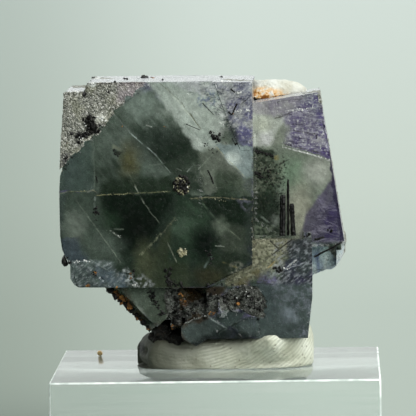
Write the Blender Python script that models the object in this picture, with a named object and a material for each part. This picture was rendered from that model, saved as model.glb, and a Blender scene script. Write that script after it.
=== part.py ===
"""A fluorite crystal group on its display block.

Intergrown fluorite cubes carry black tourmaline prisms and a lump of feldspar matrix.
The group is pressed into a wad of mineral tack on a square block of clear acrylic.
X runs to the right, Y away from the viewer and Z up. The origin is the middle of the block's
underside. All sizes below are in millimetres and degrees.
"""

import math
import random

import bmesh
import bpy
from mathutils import Matrix, Vector, noise

MM = 0.001

# The display block
BLOCK_SIDE = 50.0
BLOCK_HEIGHT = 12.0
BLOCK_EDGE = 0.5

# Clearances between separate pieces
SEAT_GAP = 0.2
GROWN_GAP = 0.3

# The mineral tack: a wad with a flat foot, wider than deep, its top pushed up at both ends
TACK_CENTRE = (1.05, -0.6)
TACK_HALF = (13.7, 9.0)
TACK_HEIGHT = 4.9
TACK_END_RISE = 0.9
TACK_RIGHT_RISE = 0.6
TACK_SQUARENESS = 0.62
TACK_LUMP = 0.35
TACK_SHARP = 50.0
TACK_DENT = (-11.3, -9.6, 15.2)
TACK_DENT_RADII = (0.75, 0.9, 0.95)

# The main crystal, whose faces are low pyramids meeting along a level seam
MAIN_CENTRE = (-8.45, -2.0, 40.85)
MAIN_SIZE = (28.6, 22.0, 31.4)
MAIN_ROLL = 0.9
MAIN_SEAM = -0.9
MAIN_APEX_SHIFT = 3.8
MAIN_DOME = 0.5

# The right crystal stands behind it, leaning to the left
RIGHT_CENTRE = (7.3, -0.9, 40.9)
RIGHT_SIZE = (22.0, 14.2, 24.0)
RIGHT_ROLL = -8.7

# The lower crystal carries the tourmaline prisms on its ledge
LOWER_CENTRE = (6.6, -4.2, 24.65)
LOWER_SIZE = (16.1, 14.6, 15.2)
LEDGE_HEIGHT = LOWER_CENTRE[2] + LOWER_SIZE[2] / 2

# Every cube of the group: centre, size, roll about Y, pitch about X, yaw about Z, height of its low pyramids
CUBES = {
    "main": (MAIN_CENTRE, MAIN_SIZE, MAIN_ROLL, 0.0, 0.0, MAIN_DOME),
    "right": (RIGHT_CENTRE, RIGHT_SIZE, RIGHT_ROLL, 0.0, -1.0, 0.3),
    "lower": (LOWER_CENTRE, LOWER_SIZE, 0.4, 0.0, 1.0, 0.12),
    "tongue": ((-11.05, -4.5, 26.0), (13.0, 13.0, 7.0), 46.0, 0.0, 0.0, 0.15),
    "tongue_back": ((-12.6, -2.4, 24.8), (13.0, 13.2, 6.0), 45.0, 0.0, 0.0, 0.1),
    "foot": ((-1.0, 2.4, 21.6), (13.0, 11.0, 8.4), 6.0, 3.0, 12.0, 0.2),
    "back_left": ((-13.2, 6.6, 33.0), (12.6, 11.0, 13.0), 21.0, 10.0, 24.0, 0.25),
    "back_low": ((-3.0, 9.0, 31.5), (10.0, 8.5, 9.5), -14.0, -8.0, -18.0, 0.2),
    "back_right": ((12.4, 8.4, 36.2), (9.0, 9.5, 9.0), -17.0, 6.0, 21.0, 0.2),
    "back_top": ((-13.0, 7.6, 48.0), (9.5, 8.0, 9.0), -9.0, 7.0, -16.0, 0.2),
}

# Corners broken off those cubes: a point on the break and the direction in which material is missing
BREAKS = {
    "main": (((-2.3, -13.0, 24.9), (0.38, -0.5, -0.8)),),
    "right": (((19.7, -8.0, 31.6), (0.55, -0.2, -0.8)),),
    "lower": (((14.45, -11.5, 20.6), (0.98, 0.0, -0.12)),),
    "tongue": (((-8.2, -11.0, 19.2), (0.45, -0.1, -0.88)),),
    "back_left": (((-18.4, 12.0, 38.0), (-0.6, 0.7, 0.4)),),
}

# Slabs of crystal with an outline in X and Z: front, depth, share of the outline at the back, outline
TIP_DEPTH = 6.5
SLABS = {
    "tip_left": (
        -12.3, TIP_DEPTH, 0.8, ((-5.3, 19.0), (-4.6, 19.8), (-0.1, 20.2), (1.6, 19.0), (-3.1, 16.0), (-5.3, 17.3))
    ),
    "tip_upper": (-11.95, TIP_DEPTH, 0.8, ((-0.6, 20.0), (1.1, 21.2), (3.9, 21.2), (4.5, 20.5), (1.8, 18.9))),
    "tip_right": (-11.8, TIP_DEPTH, 0.8, ((2.4, 18.9), (5.0, 20.3), (6.6, 20.3), (6.8, 17.5), (4.0, 17.2))),
    "etched_corner": (
        -13.36,
        1.0,
        1.0,
        ((-23.25, 43.4), (-21.0, 45.6), (-18.7, 47.9), (-16.4, 50.9), (-14.0, 53.1), (-9.4, 56.2), (-22.7, 56.2)),
    ),
    "purple_corner": (-13.3, 1.0, 1.0, ((0.4, 56.2), (5.85, 56.2), (5.65, 46.0), (4.2, 46.0), (2.3, 50.6))),
    "frosted_corner": (-13.2, 1.0, 1.0, ((-21.9, 29.6), (-18.7, 29.3), (-17.5, 27.3), (-15.7, 25.4), (-21.0, 25.5))),
    "right_step": (-8.45, 1.0, 1.0, ((10.7, 46.4), (17.6, 44.0), (16.4, 53.9), (9.6, 53.0), (10.0, 50.5))),
}

# Outlines cut away from the main crystal's left edge, through its whole depth
EDGE_CUTS = {
    "upper_left": ((-19.45, 55.2), (-18.85, 56.9), (-18.4, 60.0), (-30.0, 60.0), (-30.0, 54.9), (-22.9, 55.1)),
    "lower_left": (
        (-23.15, 31.4),
        (-22.05, 28.7),
        (-22.05, 26.7),
        (-21.5, 25.7),
        (-20.5, 25.2),
        (-17.0, 22.0),
        (-30.0, 22.0),
        (-30.0, 31.4),
    ),
}

# Growth terraces: thin plates that stand out from the cubes' faces or are sunk into them
TERRACE_SEED = 11
TERRACE_THICKNESS = (0.14, 0.38)
TERRACE_ROOT = 0.6
TERRACES_PER_FACE = {"main": 3, "right": 3, "lower": 2, "back_left": 2, "back_top": 2}
PLAIN_FACES = {("main", 1, -1), ("right", 1, -1), ("lower", 2, -1), ("lower", 1, -1), ("right", 2, 1)}
SUNK_FACES = {("main", 0, -1), ("right", 0, 1), ("lower", 0, 1)}

# The knob at the ledge's right end
KNOB_CENTRE = (14.0, -10.4, 32.2)
KNOB_SIZE = (1.2, 1.9, 2.1)

# The pale rounded fluorite below the right crystal, many small faces on an egg shape
PALE_CENTRE = (14.3, -1.5, 30.7)
PALE_RADII = (5.9, 5.5, 5.6)
PALE_POINTS = 90
PALE_SEED = 5

# The druse of small cubes between the lower crystal and the tongue
DRUSE_SEED = 23
DRUSE_COUNT = 44
DRUSE_LOW = (-7.4, -10.6, 19.6)
DRUSE_HIGH = (4.4, -7.2, 25.0)
DRUSE_SIZE = (1.3, 3.3)

# The feldspar matrix on top of the right crystal and behind the group
MATRIX_CENTRE = (6.2, 4.4, 46.4)
MATRIX_RADII = (10.3, 9.4, 9.9)
MATRIX_SPLITS = 4
MATRIX_LUMP = 0.7
MATRIX_LUMP_SCALE = 0.2
MATRIX_CUTS = 20
MATRIX_SEED = 8
MATRIX_CUT_DEPTH = (0.93, 1.02)
MATRIX_TRIMS = (((0.0, 0.0, 39.4), (0.1, 0.1, -1.0)), ((15.6, 0.0, 46.0), (1.0, 0.0, 0.0)))

# Tourmaline prisms: the middle of the foot, the middle of the tip, the radius
PRISM_SIDES = 6
PRISM_FOOT = LEDGE_HEIGHT + 0.33
PRISMS = {
    "tourmaline_prism_left": ((10.3, -9.75, PRISM_FOOT), (10.46, -9.7, 38.85), 0.46),
    "tourmaline_prism_middle": ((11.2, -9.3, PRISM_FOOT), (11.3, -9.3, 41.2), 0.2),
    "tourmaline_prism_right": ((12.0, -9.65, PRISM_FOOT), (11.8, -9.6, 37.5), 0.42),
    "tourmaline_needle_long": ((15.1, -9.0, 29.2), (19.4, -8.95, 31.4), 0.16),
    "tourmaline_needle_short": ((15.2, -9.05, 31.85), (16.7, -9.0, 32.2), 0.2),
}
PRISM_TIP_SHARE = 0.55
PRISM_TIP_LENGTH = 0.35

# A knot of tourmaline on the main crystal's left edge, cut off along that edge
KNOT_CENTRE = (-22.85, -12.1, 29.4)
KNOT_RADII = (0.62, 0.8, 1.0)
KNOT_POINTS = 26
KNOT_SEED = 4
KNOT_CUT = ((-22.84, -12.0, 29.94), (0.926, 0.0, 0.377))


def clear_scene():
    for item in list(bpy.data.objects):
        bpy.data.objects.remove(item, do_unlink=True)


def finish(name, colour, roughness, transmission=0.0, ior=1.5):
    """A material in the piece's own colour."""
    made = bpy.data.materials.new(name)
    made.use_nodes = True
    shader = made.node_tree.nodes["Principled BSDF"]
    shader.inputs["Base Color"].default_value = (*colour, 1.0)
    shader.inputs["Roughness"].default_value = roughness
    shader.inputs["Metallic"].default_value = 0.0
    shader.inputs["Transmission Weight"].default_value = transmission
    shader.inputs["IOR"].default_value = ior
    return made


def add_piece(name, shape, material=None, collection=None):
    """Turns a bmesh in millimetres into an object in metres."""
    bmesh.ops.scale(shape, vec=(MM, MM, MM), verts=shape.verts)
    mesh = bpy.data.meshes.new(name)
    shape.to_mesh(mesh)
    shape.free()
    piece = bpy.data.objects.new(name, mesh)
    (collection or bpy.context.scene.collection).objects.link(piece)
    if material:
        mesh.materials.append(material)
    return piece


def hidden_collection(name):
    """A collection of shapes that only take part in a Boolean."""
    made = bpy.data.collections.new(name)
    bpy.context.scene.collection.children.link(made)
    made.hide_render = True
    return made


def hide_cutters(collection):
    for cutter in collection.objects:
        cutter.hide_render = True
        cutter.display_type = "WIRE"


def boolean(piece, operation, collection):
    modifier = piece.modifiers.new(operation.lower(), "BOOLEAN")
    modifier.operation = operation
    modifier.operand_type = "COLLECTION"
    modifier.collection = collection
    modifier.solver = "EXACT"


def turned(roll, pitch, yaw):
    return (
        Matrix.Rotation(math.radians(yaw), 4, "Z")
        @ Matrix.Rotation(math.radians(pitch), 4, "X")
        @ Matrix.Rotation(math.radians(roll), 4, "Y")
    )


def wrap(points):
    """The convex solid around some points."""
    shape = bmesh.new()
    for point in points:
        shape.verts.new(point)
    hull = bmesh.ops.convex_hull(shape, input=shape.verts)
    inner = {v for v in hull["geom_interior"] + hull["geom_unused"] if isinstance(v, bmesh.types.BMVert)}
    bmesh.ops.delete(shape, geom=list(inner), context="VERTS")
    bmesh.ops.recalc_face_normals(shape, faces=shape.faces)
    return shape


def cube_points(size, dome, seam, apex_shift=0.0):
    """A cube's corners, the ends of its level seam, and the top of the low pyramid on each face."""
    half = Vector(size) / 2
    corners = [Vector((x * half.x, y * half.y, z * half.z)) for x in (-1, 1) for y in (-1, 1) for z in (-1, 1)]
    edge_lift = 1 + 0.35 * dome / max(half)
    seams = [Vector((x * half.x * edge_lift, y * half.y * edge_lift, seam)) for x in (-1, 1) for y in (-1, 1)]
    tops = [Vector((side * (half.x + dome), 0, seam)) for side in (-1, 1)]
    tops += [Vector((-side * apex_shift, side * (half.y + dome), seam + 0.6)) for side in (-1, 1)]
    tops += [Vector((0.1 * half.x, 0.1 * half.y, side * (half.z + 0.4 * dome))) for side in (-1, 1)]
    return corners + seams + tops


def break_off(shape, point, missing):
    """Cuts the shape by a plane and closes the cut."""
    cut = bmesh.ops.bisect_plane(
        shape,
        geom=shape.verts[:] + shape.edges[:] + shape.faces[:],
        dist=1e-5,
        plane_co=point,
        plane_no=missing,
        clear_outer=True,
    )
    rim = [edge for edge in cut["geom_cut"] if isinstance(edge, bmesh.types.BMEdge)]
    bmesh.ops.edgeloop_fill(shape, edges=rim)
    bmesh.ops.recalc_face_normals(shape, faces=shape.faces)


def cube_shape(name, grow=0.0):
    """One cube of the group, with its broken corners. With grow it is that much larger all round."""
    centre, size, roll, pitch, yaw, dome = CUBES[name]
    is_main = name == "main"
    seam = MAIN_SEAM if is_main else 0.04 * size[2]
    apex_shift = -MAIN_APEX_SHIFT if is_main else 0.08 * size[0]
    grown = [side + 2 * grow for side in size]
    shape = wrap(cube_points(grown, dome, seam, apex_shift))
    shape.transform(Matrix.Translation(centre) @ turned(roll, pitch, yaw))
    for point, missing in BREAKS.get(name, ()):
        way = Vector(missing).normalized()
        break_off(shape, Vector(point) + way * grow, way)
    return shape


def box_shape(centre, size, turn=Matrix.Identity(4)):
    shape = bmesh.new()
    bmesh.ops.create_cube(shape, size=1.0, matrix=Matrix.Translation(centre) @ turn @ Matrix.Diagonal((*size, 1.0)))
    return shape


def slab_shape(front, depth, back_share, outline, grow=0.0):
    """A slab with an outline in X and Z, narrowing towards the back."""
    middle_x = sum(x for x, _ in outline) / len(outline)
    middle_z = sum(z for _, z in outline) / len(outline)
    reach = max(math.hypot(x - middle_x, z - middle_z) for x, z in outline)
    shape = bmesh.new()
    rings = []
    for y, share in ((front - grow, 1.0), (front + depth + grow, back_share)):
        share *= 1 + grow / reach
        ring = [
            shape.verts.new((middle_x + (x - middle_x) * share, y, middle_z + (z - middle_z) * share))
            for x, z in outline
        ]
        rings.append(ring)
    for ring in rings:
        shape.faces.new(ring)
    for i in range(len(outline)):
        j = (i + 1) % len(outline)
        shape.faces.new((rings[0][i], rings[0][j], rings[1][j], rings[1][i]))
    bmesh.ops.recalc_face_normals(shape, faces=shape.faces)
    return shape


def plate_on(name, axis, side, middle, size, thickness, grow=0.0):
    """A thin plate on one face of a cube, in line with its edges and rooted below the surface."""
    centre, cube, roll, pitch, yaw, dome = CUBES[name]
    across = [i for i in range(3) if i != axis]
    place, extent = [0.0] * 3, [0.0] * 3
    for i, at, length in zip(across, middle, size):
        place[i], extent[i] = at, length + 2 * grow
    extent[axis] = thickness + TERRACE_ROOT + dome + 2 * grow
    place[axis] = side * (cube[axis] / 2 + thickness + grow - extent[axis] / 2)
    turn = turned(roll, pitch, yaw)
    return box_shape(Vector(centre) + turn @ Vector(place), extent, turn)


def hollow_on(name, axis, side, middle, size, depth):
    """The space that a sunk terrace takes out of one face of a cube."""
    centre, cube, roll, pitch, yaw, dome = CUBES[name]
    across = [i for i in range(3) if i != axis]
    place, extent = [0.0] * 3, [0.0] * 3
    for i, at, length in zip(across, middle, size):
        place[i], extent[i] = at, length
    extent[axis] = 4.0
    place[axis] = side * (cube[axis] / 2 - depth + extent[axis] / 2)
    turn = turned(roll, pitch, yaw)
    return box_shape(Vector(centre) + turn @ Vector(place), extent, turn)


def terraces():
    """The terraces on the larger cubes: whether each is sunk, and what its plate or hollow needs."""
    chance = random.Random(TERRACE_SEED)
    for name, count in TERRACES_PER_FACE.items():
        size, dome = CUBES[name][1], CUBES[name][5]
        for axis in range(3):
            across = [i for i in range(3) if i != axis]
            for side in (-1, 1):
                for _ in range(count):
                    share = [chance.uniform(0.28, 0.62) for _ in across]
                    room = [0.47 * size[i] * (1 - s) for i, s in zip(across, share)]
                    middle = [chance.uniform(-r, r) for r in room]
                    thickness = chance.uniform(*TERRACE_THICKNESS)
                    extent = [size[i] * s for i, s in zip(across, share)]
                    if (name, axis, side) in PLAIN_FACES:
                        continue
                    sunk = (name, axis, side) in SUNK_FACES
                    if not sunk:
                        thickness += 0.5 * dome
                    yield sunk, (name, axis, side, middle, extent, thickness)


def druse_cubes(grow=0.0):
    chance = random.Random(DRUSE_SEED)
    for _ in range(DRUSE_COUNT):
        centre = [chance.uniform(low, high) for low, high in zip(DRUSE_LOW, DRUSE_HIGH)]
        side = chance.uniform(*DRUSE_SIZE) + 2 * grow
        turn = turned(*(chance.uniform(0, 90) for _ in range(3)))
        yield box_shape(centre, (side, side * 1.1, side * 0.9), turn)


def scattered(centre, radii, count, seed):
    """Points spread over an egg shape by the golden angle, each moved a little."""
    chance = random.Random(seed)
    golden = math.pi * (3 - math.sqrt(5))
    for i in range(count):
        height = 1 - 2 * (i + 0.5) / count
        ring = math.sqrt(1 - height * height)
        turn = golden * i
        stretch = chance.uniform(0.93, 1.03)
        way = (ring * math.cos(turn), ring * math.sin(turn), height)
        yield Vector(c + stretch * r * w for c, r, w in zip(centre, radii, way))


def growth(grow=0.0):
    """Everything that grew on the main crystal, each shape larger by the given amount all round."""
    for name in CUBES:
        if name != "main":
            yield name, cube_shape(name, grow)
    for i, (sunk, plate) in enumerate(terraces()):
        if not sunk:
            yield f"terrace_{i}", plate_on(*plate, grow)
    for name, slab in SLABS.items():
        yield name, slab_shape(*slab, grow)
    for i, cube in enumerate(druse_cubes(grow)):
        yield f"druse_{i}", cube
    knob = [side + 2 * grow for side in KNOB_SIZE]
    yield "ledge_knob", box_shape(KNOB_CENTRE, knob, turned(3, 4, 8))
    radii = [radius + grow for radius in PALE_RADII]
    yield "pale_growth", wrap(scattered(PALE_CENTRE, radii, PALE_POINTS, PALE_SEED))


def make_fluorite(material):
    """The whole group of cubes as one solid."""
    grown = hidden_collection("fluorite_growth")
    for name, shape in growth():
        add_piece("growth_" + name, shape, collection=grown)
    hide_cutters(grown)
    cuts = hidden_collection("fluorite_cuts")
    for name, outline in EDGE_CUTS.items():
        add_piece("cut_" + name, slab_shape(-30.0, 60.0, 1.0, outline), collection=cuts)
    for i, (sunk, hollow) in enumerate(terraces()):
        if sunk:
            add_piece(f"hollow_{i}", hollow_on(*hollow), collection=cuts)
    hide_cutters(cuts)
    group = add_piece("fluorite_crystals", cube_shape("main"), material)
    boolean(group, "UNION", grown)
    boolean(group, "DIFFERENCE", cuts)
    return group


def room_for_fluorite():
    """The group, grown by the clearance, as cutters for what it touches."""
    room = hidden_collection("fluorite_room")
    add_piece("room_main", cube_shape("main", GROWN_GAP), collection=room)
    for name, shape in growth(GROWN_GAP):
        add_piece("room_" + name, shape, collection=room)
    hide_cutters(room)
    return room


def make_matrix(material, room):
    """A rounded lump of feldspar with flat cleaved patches."""
    shape = bmesh.new()
    bmesh.ops.create_icosphere(shape, subdivisions=MATRIX_SPLITS, radius=1.0)
    centre = Vector(MATRIX_CENTRE)
    for vert in shape.verts:
        out = vert.co.copy()
        place = centre + Vector(a * b for a, b in zip(out, MATRIX_RADII))
        vert.co = place + out * MATRIX_LUMP * noise.noise(place * MATRIX_LUMP_SCALE)
    chance = random.Random(MATRIX_SEED)
    for _ in range(MATRIX_CUTS):
        way = Vector(chance.gauss(0, 1) for _ in range(3)).normalized()
        way.y = abs(way.y)
        reach = math.sqrt(sum((w * r) ** 2 for w, r in zip(way, MATRIX_RADII)))
        break_off(shape, centre + way * reach * chance.uniform(*MATRIX_CUT_DEPTH), way)
    for point, missing in MATRIX_TRIMS:
        break_off(shape, point, Vector(missing).normalized())
    lump = add_piece("feldspar_matrix", shape, material)
    boolean(lump, "DIFFERENCE", room)
    return lump


def make_tack(material, room):
    """The wad of tack: a squarish pillow with a flat foot and raised ends."""
    shape = bmesh.new()
    bmesh.ops.create_uvsphere(shape, u_segments=48, v_segments=20, radius=1.0)
    foot = BLOCK_HEIGHT + SEAT_GAP
    for vert in shape.verts:
        x, y, z = (math.copysign(abs(c) ** TACK_SQUARENESS, c) for c in vert.co)
        rise = TACK_HEIGHT + TACK_END_RISE * x * x + TACK_RIGHT_RISE * x
        place = Vector((TACK_CENTRE[0] + TACK_HALF[0] * x, TACK_CENTRE[1] + TACK_HALF[1] * y, 0))
        lump = TACK_LUMP * noise.noise(Vector((0.35 * place.x, 0.35 * place.y, 2.0 * z)))
        place.z = foot + rise * (0.28 + 0.72 * z)
        vert.co = place + lump * Vector((x, y, z))
    break_off(shape, (0, 0, foot), (0, 0, -1))
    wad = add_piece("mineral_tack", shape, material)
    wad.data.shade_smooth()
    wad.data.set_sharp_from_angle(angle=math.radians(TACK_SHARP))
    dents = hidden_collection("tack_dents")
    add_piece("dent", wrap(scattered(TACK_DENT, TACK_DENT_RADII, 30, 3)), collection=dents)
    hide_cutters(dents)
    boolean(wad, "DIFFERENCE", room)
    boolean(wad, "DIFFERENCE", dents)
    return wad


def make_knot(material):
    """A knot of stubby tourmaline, flat where it meets the crystal's edge."""
    shape = wrap(scattered(KNOT_CENTRE, KNOT_RADII, KNOT_POINTS, KNOT_SEED))
    break_off(shape, *KNOT_CUT)
    return add_piece("tourmaline_knot", shape, material)


def make_prism(name, foot, tip, radius, material):
    """A six-sided prism with a blunt end, between two points."""
    foot, tip = Vector(foot), Vector(tip)
    length = (tip - foot).length
    shape = bmesh.new()
    rings = ((0.0, 1.0), (length - PRISM_TIP_LENGTH * radius * 2, 1.0), (length, PRISM_TIP_SHARE))
    for height, share in rings:
        for i in range(PRISM_SIDES):
            turn = math.tau * i / PRISM_SIDES
            flat = 1.0 if i % 2 else 0.86
            shape.verts.new((radius * share * flat * math.cos(turn), radius * share * flat * math.sin(turn), height))
    hull = bmesh.ops.convex_hull(shape, input=shape.verts)
    inner = [v for v in hull["geom_interior"] if isinstance(v, bmesh.types.BMVert)]
    bmesh.ops.delete(shape, geom=inner, context="VERTS")
    bmesh.ops.recalc_face_normals(shape, faces=shape.faces)
    aim = (tip - foot).to_track_quat("Z", "Y").to_matrix().to_4x4()
    shape.transform(Matrix.Translation(foot) @ aim)
    return add_piece(name, shape, material)


def make_block(material):
    """The square display block with polished edges."""
    shape = box_shape((0, 0, BLOCK_HEIGHT / 2), (BLOCK_SIDE, BLOCK_SIDE, BLOCK_HEIGHT))
    bmesh.ops.bevel(
        shape, geom=shape.edges[:], offset=BLOCK_EDGE, segments=2, profile=0.5, affect="EDGES", material=-1
    )
    return add_piece("display_block", shape, material)


def main():
    clear_scene()
    fluorite = finish("fluorite", (0.16, 0.21, 0.19), 0.08, 0.6, 1.434)
    tourmaline = finish("tourmaline", (0.02, 0.018, 0.016), 0.3)
    feldspar = finish("feldspar", (0.78, 0.71, 0.58), 0.6)
    tack = finish("tack", (0.62, 0.62, 0.54), 0.55)
    acrylic = finish("acrylic", (0.9, 0.94, 0.92), 0.03, 1.0, 1.49)
    make_fluorite(fluorite)
    room = room_for_fluorite()
    make_matrix(feldspar, room)
    make_tack(tack, room)
    for name, (foot, tip, radius) in PRISMS.items():
        make_prism(name, foot, tip, radius, tourmaline)
    make_knot(tourmaline)
    make_block(acrylic)


main()
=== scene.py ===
"""The looks of a fluorite group on its acrylic block.

The dark green and purple crystals, their etched crust, the black tourmaline, the feldspar lump, the putty and the
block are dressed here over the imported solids. Shapes are worked in millimetres and turned into metres at the end.
"""

import math
import random

import bmesh
import bpy
from mathutils import Matrix, Vector, noise
from mathutils.bvhtree import BVHTree


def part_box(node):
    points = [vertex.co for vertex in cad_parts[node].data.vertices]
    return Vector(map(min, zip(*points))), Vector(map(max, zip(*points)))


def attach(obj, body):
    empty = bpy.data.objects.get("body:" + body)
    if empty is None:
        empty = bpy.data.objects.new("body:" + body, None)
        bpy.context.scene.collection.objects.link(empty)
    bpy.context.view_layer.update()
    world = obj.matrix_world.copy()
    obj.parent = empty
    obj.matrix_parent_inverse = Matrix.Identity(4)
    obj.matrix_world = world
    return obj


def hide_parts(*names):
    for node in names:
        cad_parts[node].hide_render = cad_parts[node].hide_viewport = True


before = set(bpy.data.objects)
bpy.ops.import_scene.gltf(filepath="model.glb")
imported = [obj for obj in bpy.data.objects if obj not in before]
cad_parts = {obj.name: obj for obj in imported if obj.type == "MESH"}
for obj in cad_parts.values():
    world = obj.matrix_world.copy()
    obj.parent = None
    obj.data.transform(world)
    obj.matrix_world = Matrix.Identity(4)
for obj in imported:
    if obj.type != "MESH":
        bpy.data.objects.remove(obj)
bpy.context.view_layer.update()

MM = 0.001

# The camera, in millimetres, and its picture of 416 by 416 pixels
EYE = Vector((18.69, -792.22, 92.42))
SIDEWAYS = Vector((0.99959503, 0.02407132, -0.01517726))
UPWARDS = Vector((0.01343446, 0.07097988, 0.99738727))
AHEAD = Vector((-0.02508571, 0.99718726, -0.07062775))
FOCAL = 5133.5
MIDDLE = 208.0
SENSOR = 36.0
LENS = FOCAL * SENSOR / (2 * MIDDLE)
PIXEL = 0.1543

# How deep the front faces of the crystals lie
MAIN_FRONT = -13.2
RIGHT_FRONT = -8.0
LOWER_FRONT = -11.5
FOOT_FRONT = -11.8

# Share of light that the fluorite lets through, its light-bending and how it dims with depth
CLEARNESS = 0.5
FLUORITE_IOR = 1.434
DEPTH_TINT = (0.3, 0.5, 0.4, 1.0)
DEPTH_DIMMING = 160.0
FLUORITE_GAIN = 1.75
CRUST_GAIN = 1.07
FLOOR_GAIN = 0.72
# Floor tones from far to near, on the left and on the right: painted shade at the near left, a painted pool of light
# far to the right.
FLOOR_LEFT = ((0.0, (178, 188, 182)), (0.45, (168, 178, 170)), (0.78, (155, 165, 156)), (1.0, (152, 162, 153)))
FLOOR_RIGHT = ((0.0, (210, 219, 214)), (0.45, (201, 210, 202)), (0.75, (188, 198, 190)), (1.0, (184, 194, 186)))


def seen(px, py, depth):
    """The point at this depth, in millimetres, that shows at a place in the picture."""
    ray = AHEAD + SIDEWAYS * (px - MIDDLE) / FOCAL + UPWARDS * (MIDDLE - py) / FOCAL
    return EYE + ray * ((depth - EYE.y) / ray.y)


def pictured(point):
    """The place in the picture where a point shows."""
    away = point - EYE
    reach = away.dot(AHEAD)
    return MIDDLE + FOCAL * away.dot(SIDEWAYS) / reach, MIDDLE - FOCAL * away.dot(UPWARDS) / reach


def linear(tone):
    """A screen tone from 0 to 255 as light."""
    share = tone / 255.0
    return share / 12.92 if share <= 0.04045 else ((share + 0.055) / 1.055) ** 2.4


def shade(tones, gain=1.0):
    return (*(min(1.0, linear(tone) * gain) for tone in tones), 1.0)


# ---------------------------------------------------------------- node helpers
def put(socket, value):
    """Links a socket to another, or sets its plain value."""
    if isinstance(value, bpy.types.NodeSocket):
        socket.id_data.links.new(value, socket)
    else:
        socket.default_value = value


def sum_of(tree, how, first, second=0.0):
    made = tree.nodes.new("ShaderNodeMath")
    made.operation = how
    put(made.inputs[0], first)
    put(made.inputs[1], second)
    return made.outputs[0]


def vector_sum(tree, how, first, second=(0.0, 0.0, 0.0), output=0):
    made = tree.nodes.new("ShaderNodeVectorMath")
    made.operation = how
    put(made.inputs[0], first)
    put(made.inputs[1], second)
    return made.outputs[output]


def scaled(tree, vector, factor):
    made = tree.nodes.new("ShaderNodeVectorMath")
    made.operation = "SCALE"
    put(made.inputs[0], vector)
    put(made.inputs["Scale"], factor)
    return made.outputs[0]


def spread_out(tree, value, low, high, to_low=0.0, to_high=1.0, smooth=False):
    made = tree.nodes.new("ShaderNodeMapRange")
    made.interpolation_type = "SMOOTHSTEP" if smooth else "LINEAR"
    made.clamp = not smooth
    for name, given in zip(("Value", "From Min", "From Max", "To Min", "To Max"), (value, low, high, to_low, to_high)):
        put(made.inputs[name], given)
    return made.outputs[0]


def blended(tree, share, under, over, how="MIX"):
    made = tree.nodes.new("ShaderNodeMix")
    made.data_type = "RGBA"
    made.blend_type = how
    put(made.inputs[0], share)
    put(made.inputs[6], under)
    put(made.inputs[7], over)
    return made.outputs[2]


def tone_steps(tree, value, steps, gain=1.0):
    """A colour ramp: steps are places with screen tones."""
    made = tree.nodes.new("ShaderNodeValToRGB")
    ramp = made.color_ramp
    while len(ramp.elements) < len(steps):
        ramp.elements.new(0.5)
    for element, (place, tones) in zip(ramp.elements, steps):
        element.position = place
        element.color = shade(tones, gain)
    put(made.inputs[0], value)
    return made.outputs[0]


def stretched(tree, point, angle, longer):
    """Coordinates in which a pattern runs out along a slant in X and Z; the angle in degrees dips to the right."""
    made = tree.nodes.new("ShaderNodeMapping")
    made.vector_type = "TEXTURE"
    made.inputs["Rotation"].default_value = (0.0, math.radians(angle), 0.0)
    made.inputs["Scale"].default_value = (longer, 1.0, 1.0)
    put(made.inputs["Vector"], point)
    return made.outputs[0]


def new_group(name, wanted, given):
    """A node group with named inputs and outputs: its tree, the input sockets and the output sockets."""
    tree = bpy.data.node_groups.new(name, "ShaderNodeTree")
    for title, kind, start in wanted:
        socket = tree.interface.new_socket(title, in_out="INPUT", socket_type="NodeSocket" + kind)
        socket.default_value = start
    for title, kind in given:
        tree.interface.new_socket(title, in_out="OUTPUT", socket_type="NodeSocket" + kind)
    return tree, tree.nodes.new("NodeGroupInput").outputs, tree.nodes.new("NodeGroupOutput").inputs


def use(tree, group, values, output=0):
    """Places a group with its own values and gives one of its outputs."""
    made = tree.nodes.new("ShaderNodeGroup")
    made.node_tree = group
    for title, value in values.items():
        put(made.inputs[title], value)
    return made.outputs[output]


# ---------------------------------------------------------------- node groups
def group_zone():
    """A flat-sided zone inside a crystal: the share of a point that lies within four planes."""
    wanted = [("Point", "Vector", (0, 0, 0))]
    for i in range(1, 5):
        wanted += [(f"Side {i}", "Vector", (0, 0, 0)), (f"Reach {i}", "Float", 1.0)]
    tree, given, result = new_group("growth zone", wanted, [("Mask", "Float")])
    mask = 1.0
    for i in range(1, 5):
        height = vector_sum(tree, "DOT_PRODUCT", given["Point"], given[f"Side {i}"], output="Value")
        height = sum_of(tree, "ADD", height, given[f"Reach {i}"])
        mask = sum_of(tree, "MULTIPLY", mask, spread_out(tree, height, 0.0, 1.0, smooth=True))
    put(result["Mask"], mask)
    return tree


def group_spot():
    """A soft round spot."""
    wanted = [
        ("Point", "Vector", (0, 0, 0)),
        ("Centre", "Vector", (0, 0, 0)),
        ("Spread", "Vector", (1, 0, 1)),
        ("Inner", "Float", 0.6),
        ("Outer", "Float", 1.4),
    ]
    tree, given, result = new_group("soft spot", wanted, [("Mask", "Float")])
    away = vector_sum(tree, "SUBTRACT", given["Point"], given["Centre"])
    reach = vector_sum(tree, "LENGTH", vector_sum(tree, "MULTIPLY", away, given["Spread"]), output="Value")
    put(result["Mask"], spread_out(tree, reach, given["Inner"], given["Outer"], 1.0, 0.0, smooth=True))
    return tree


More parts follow.
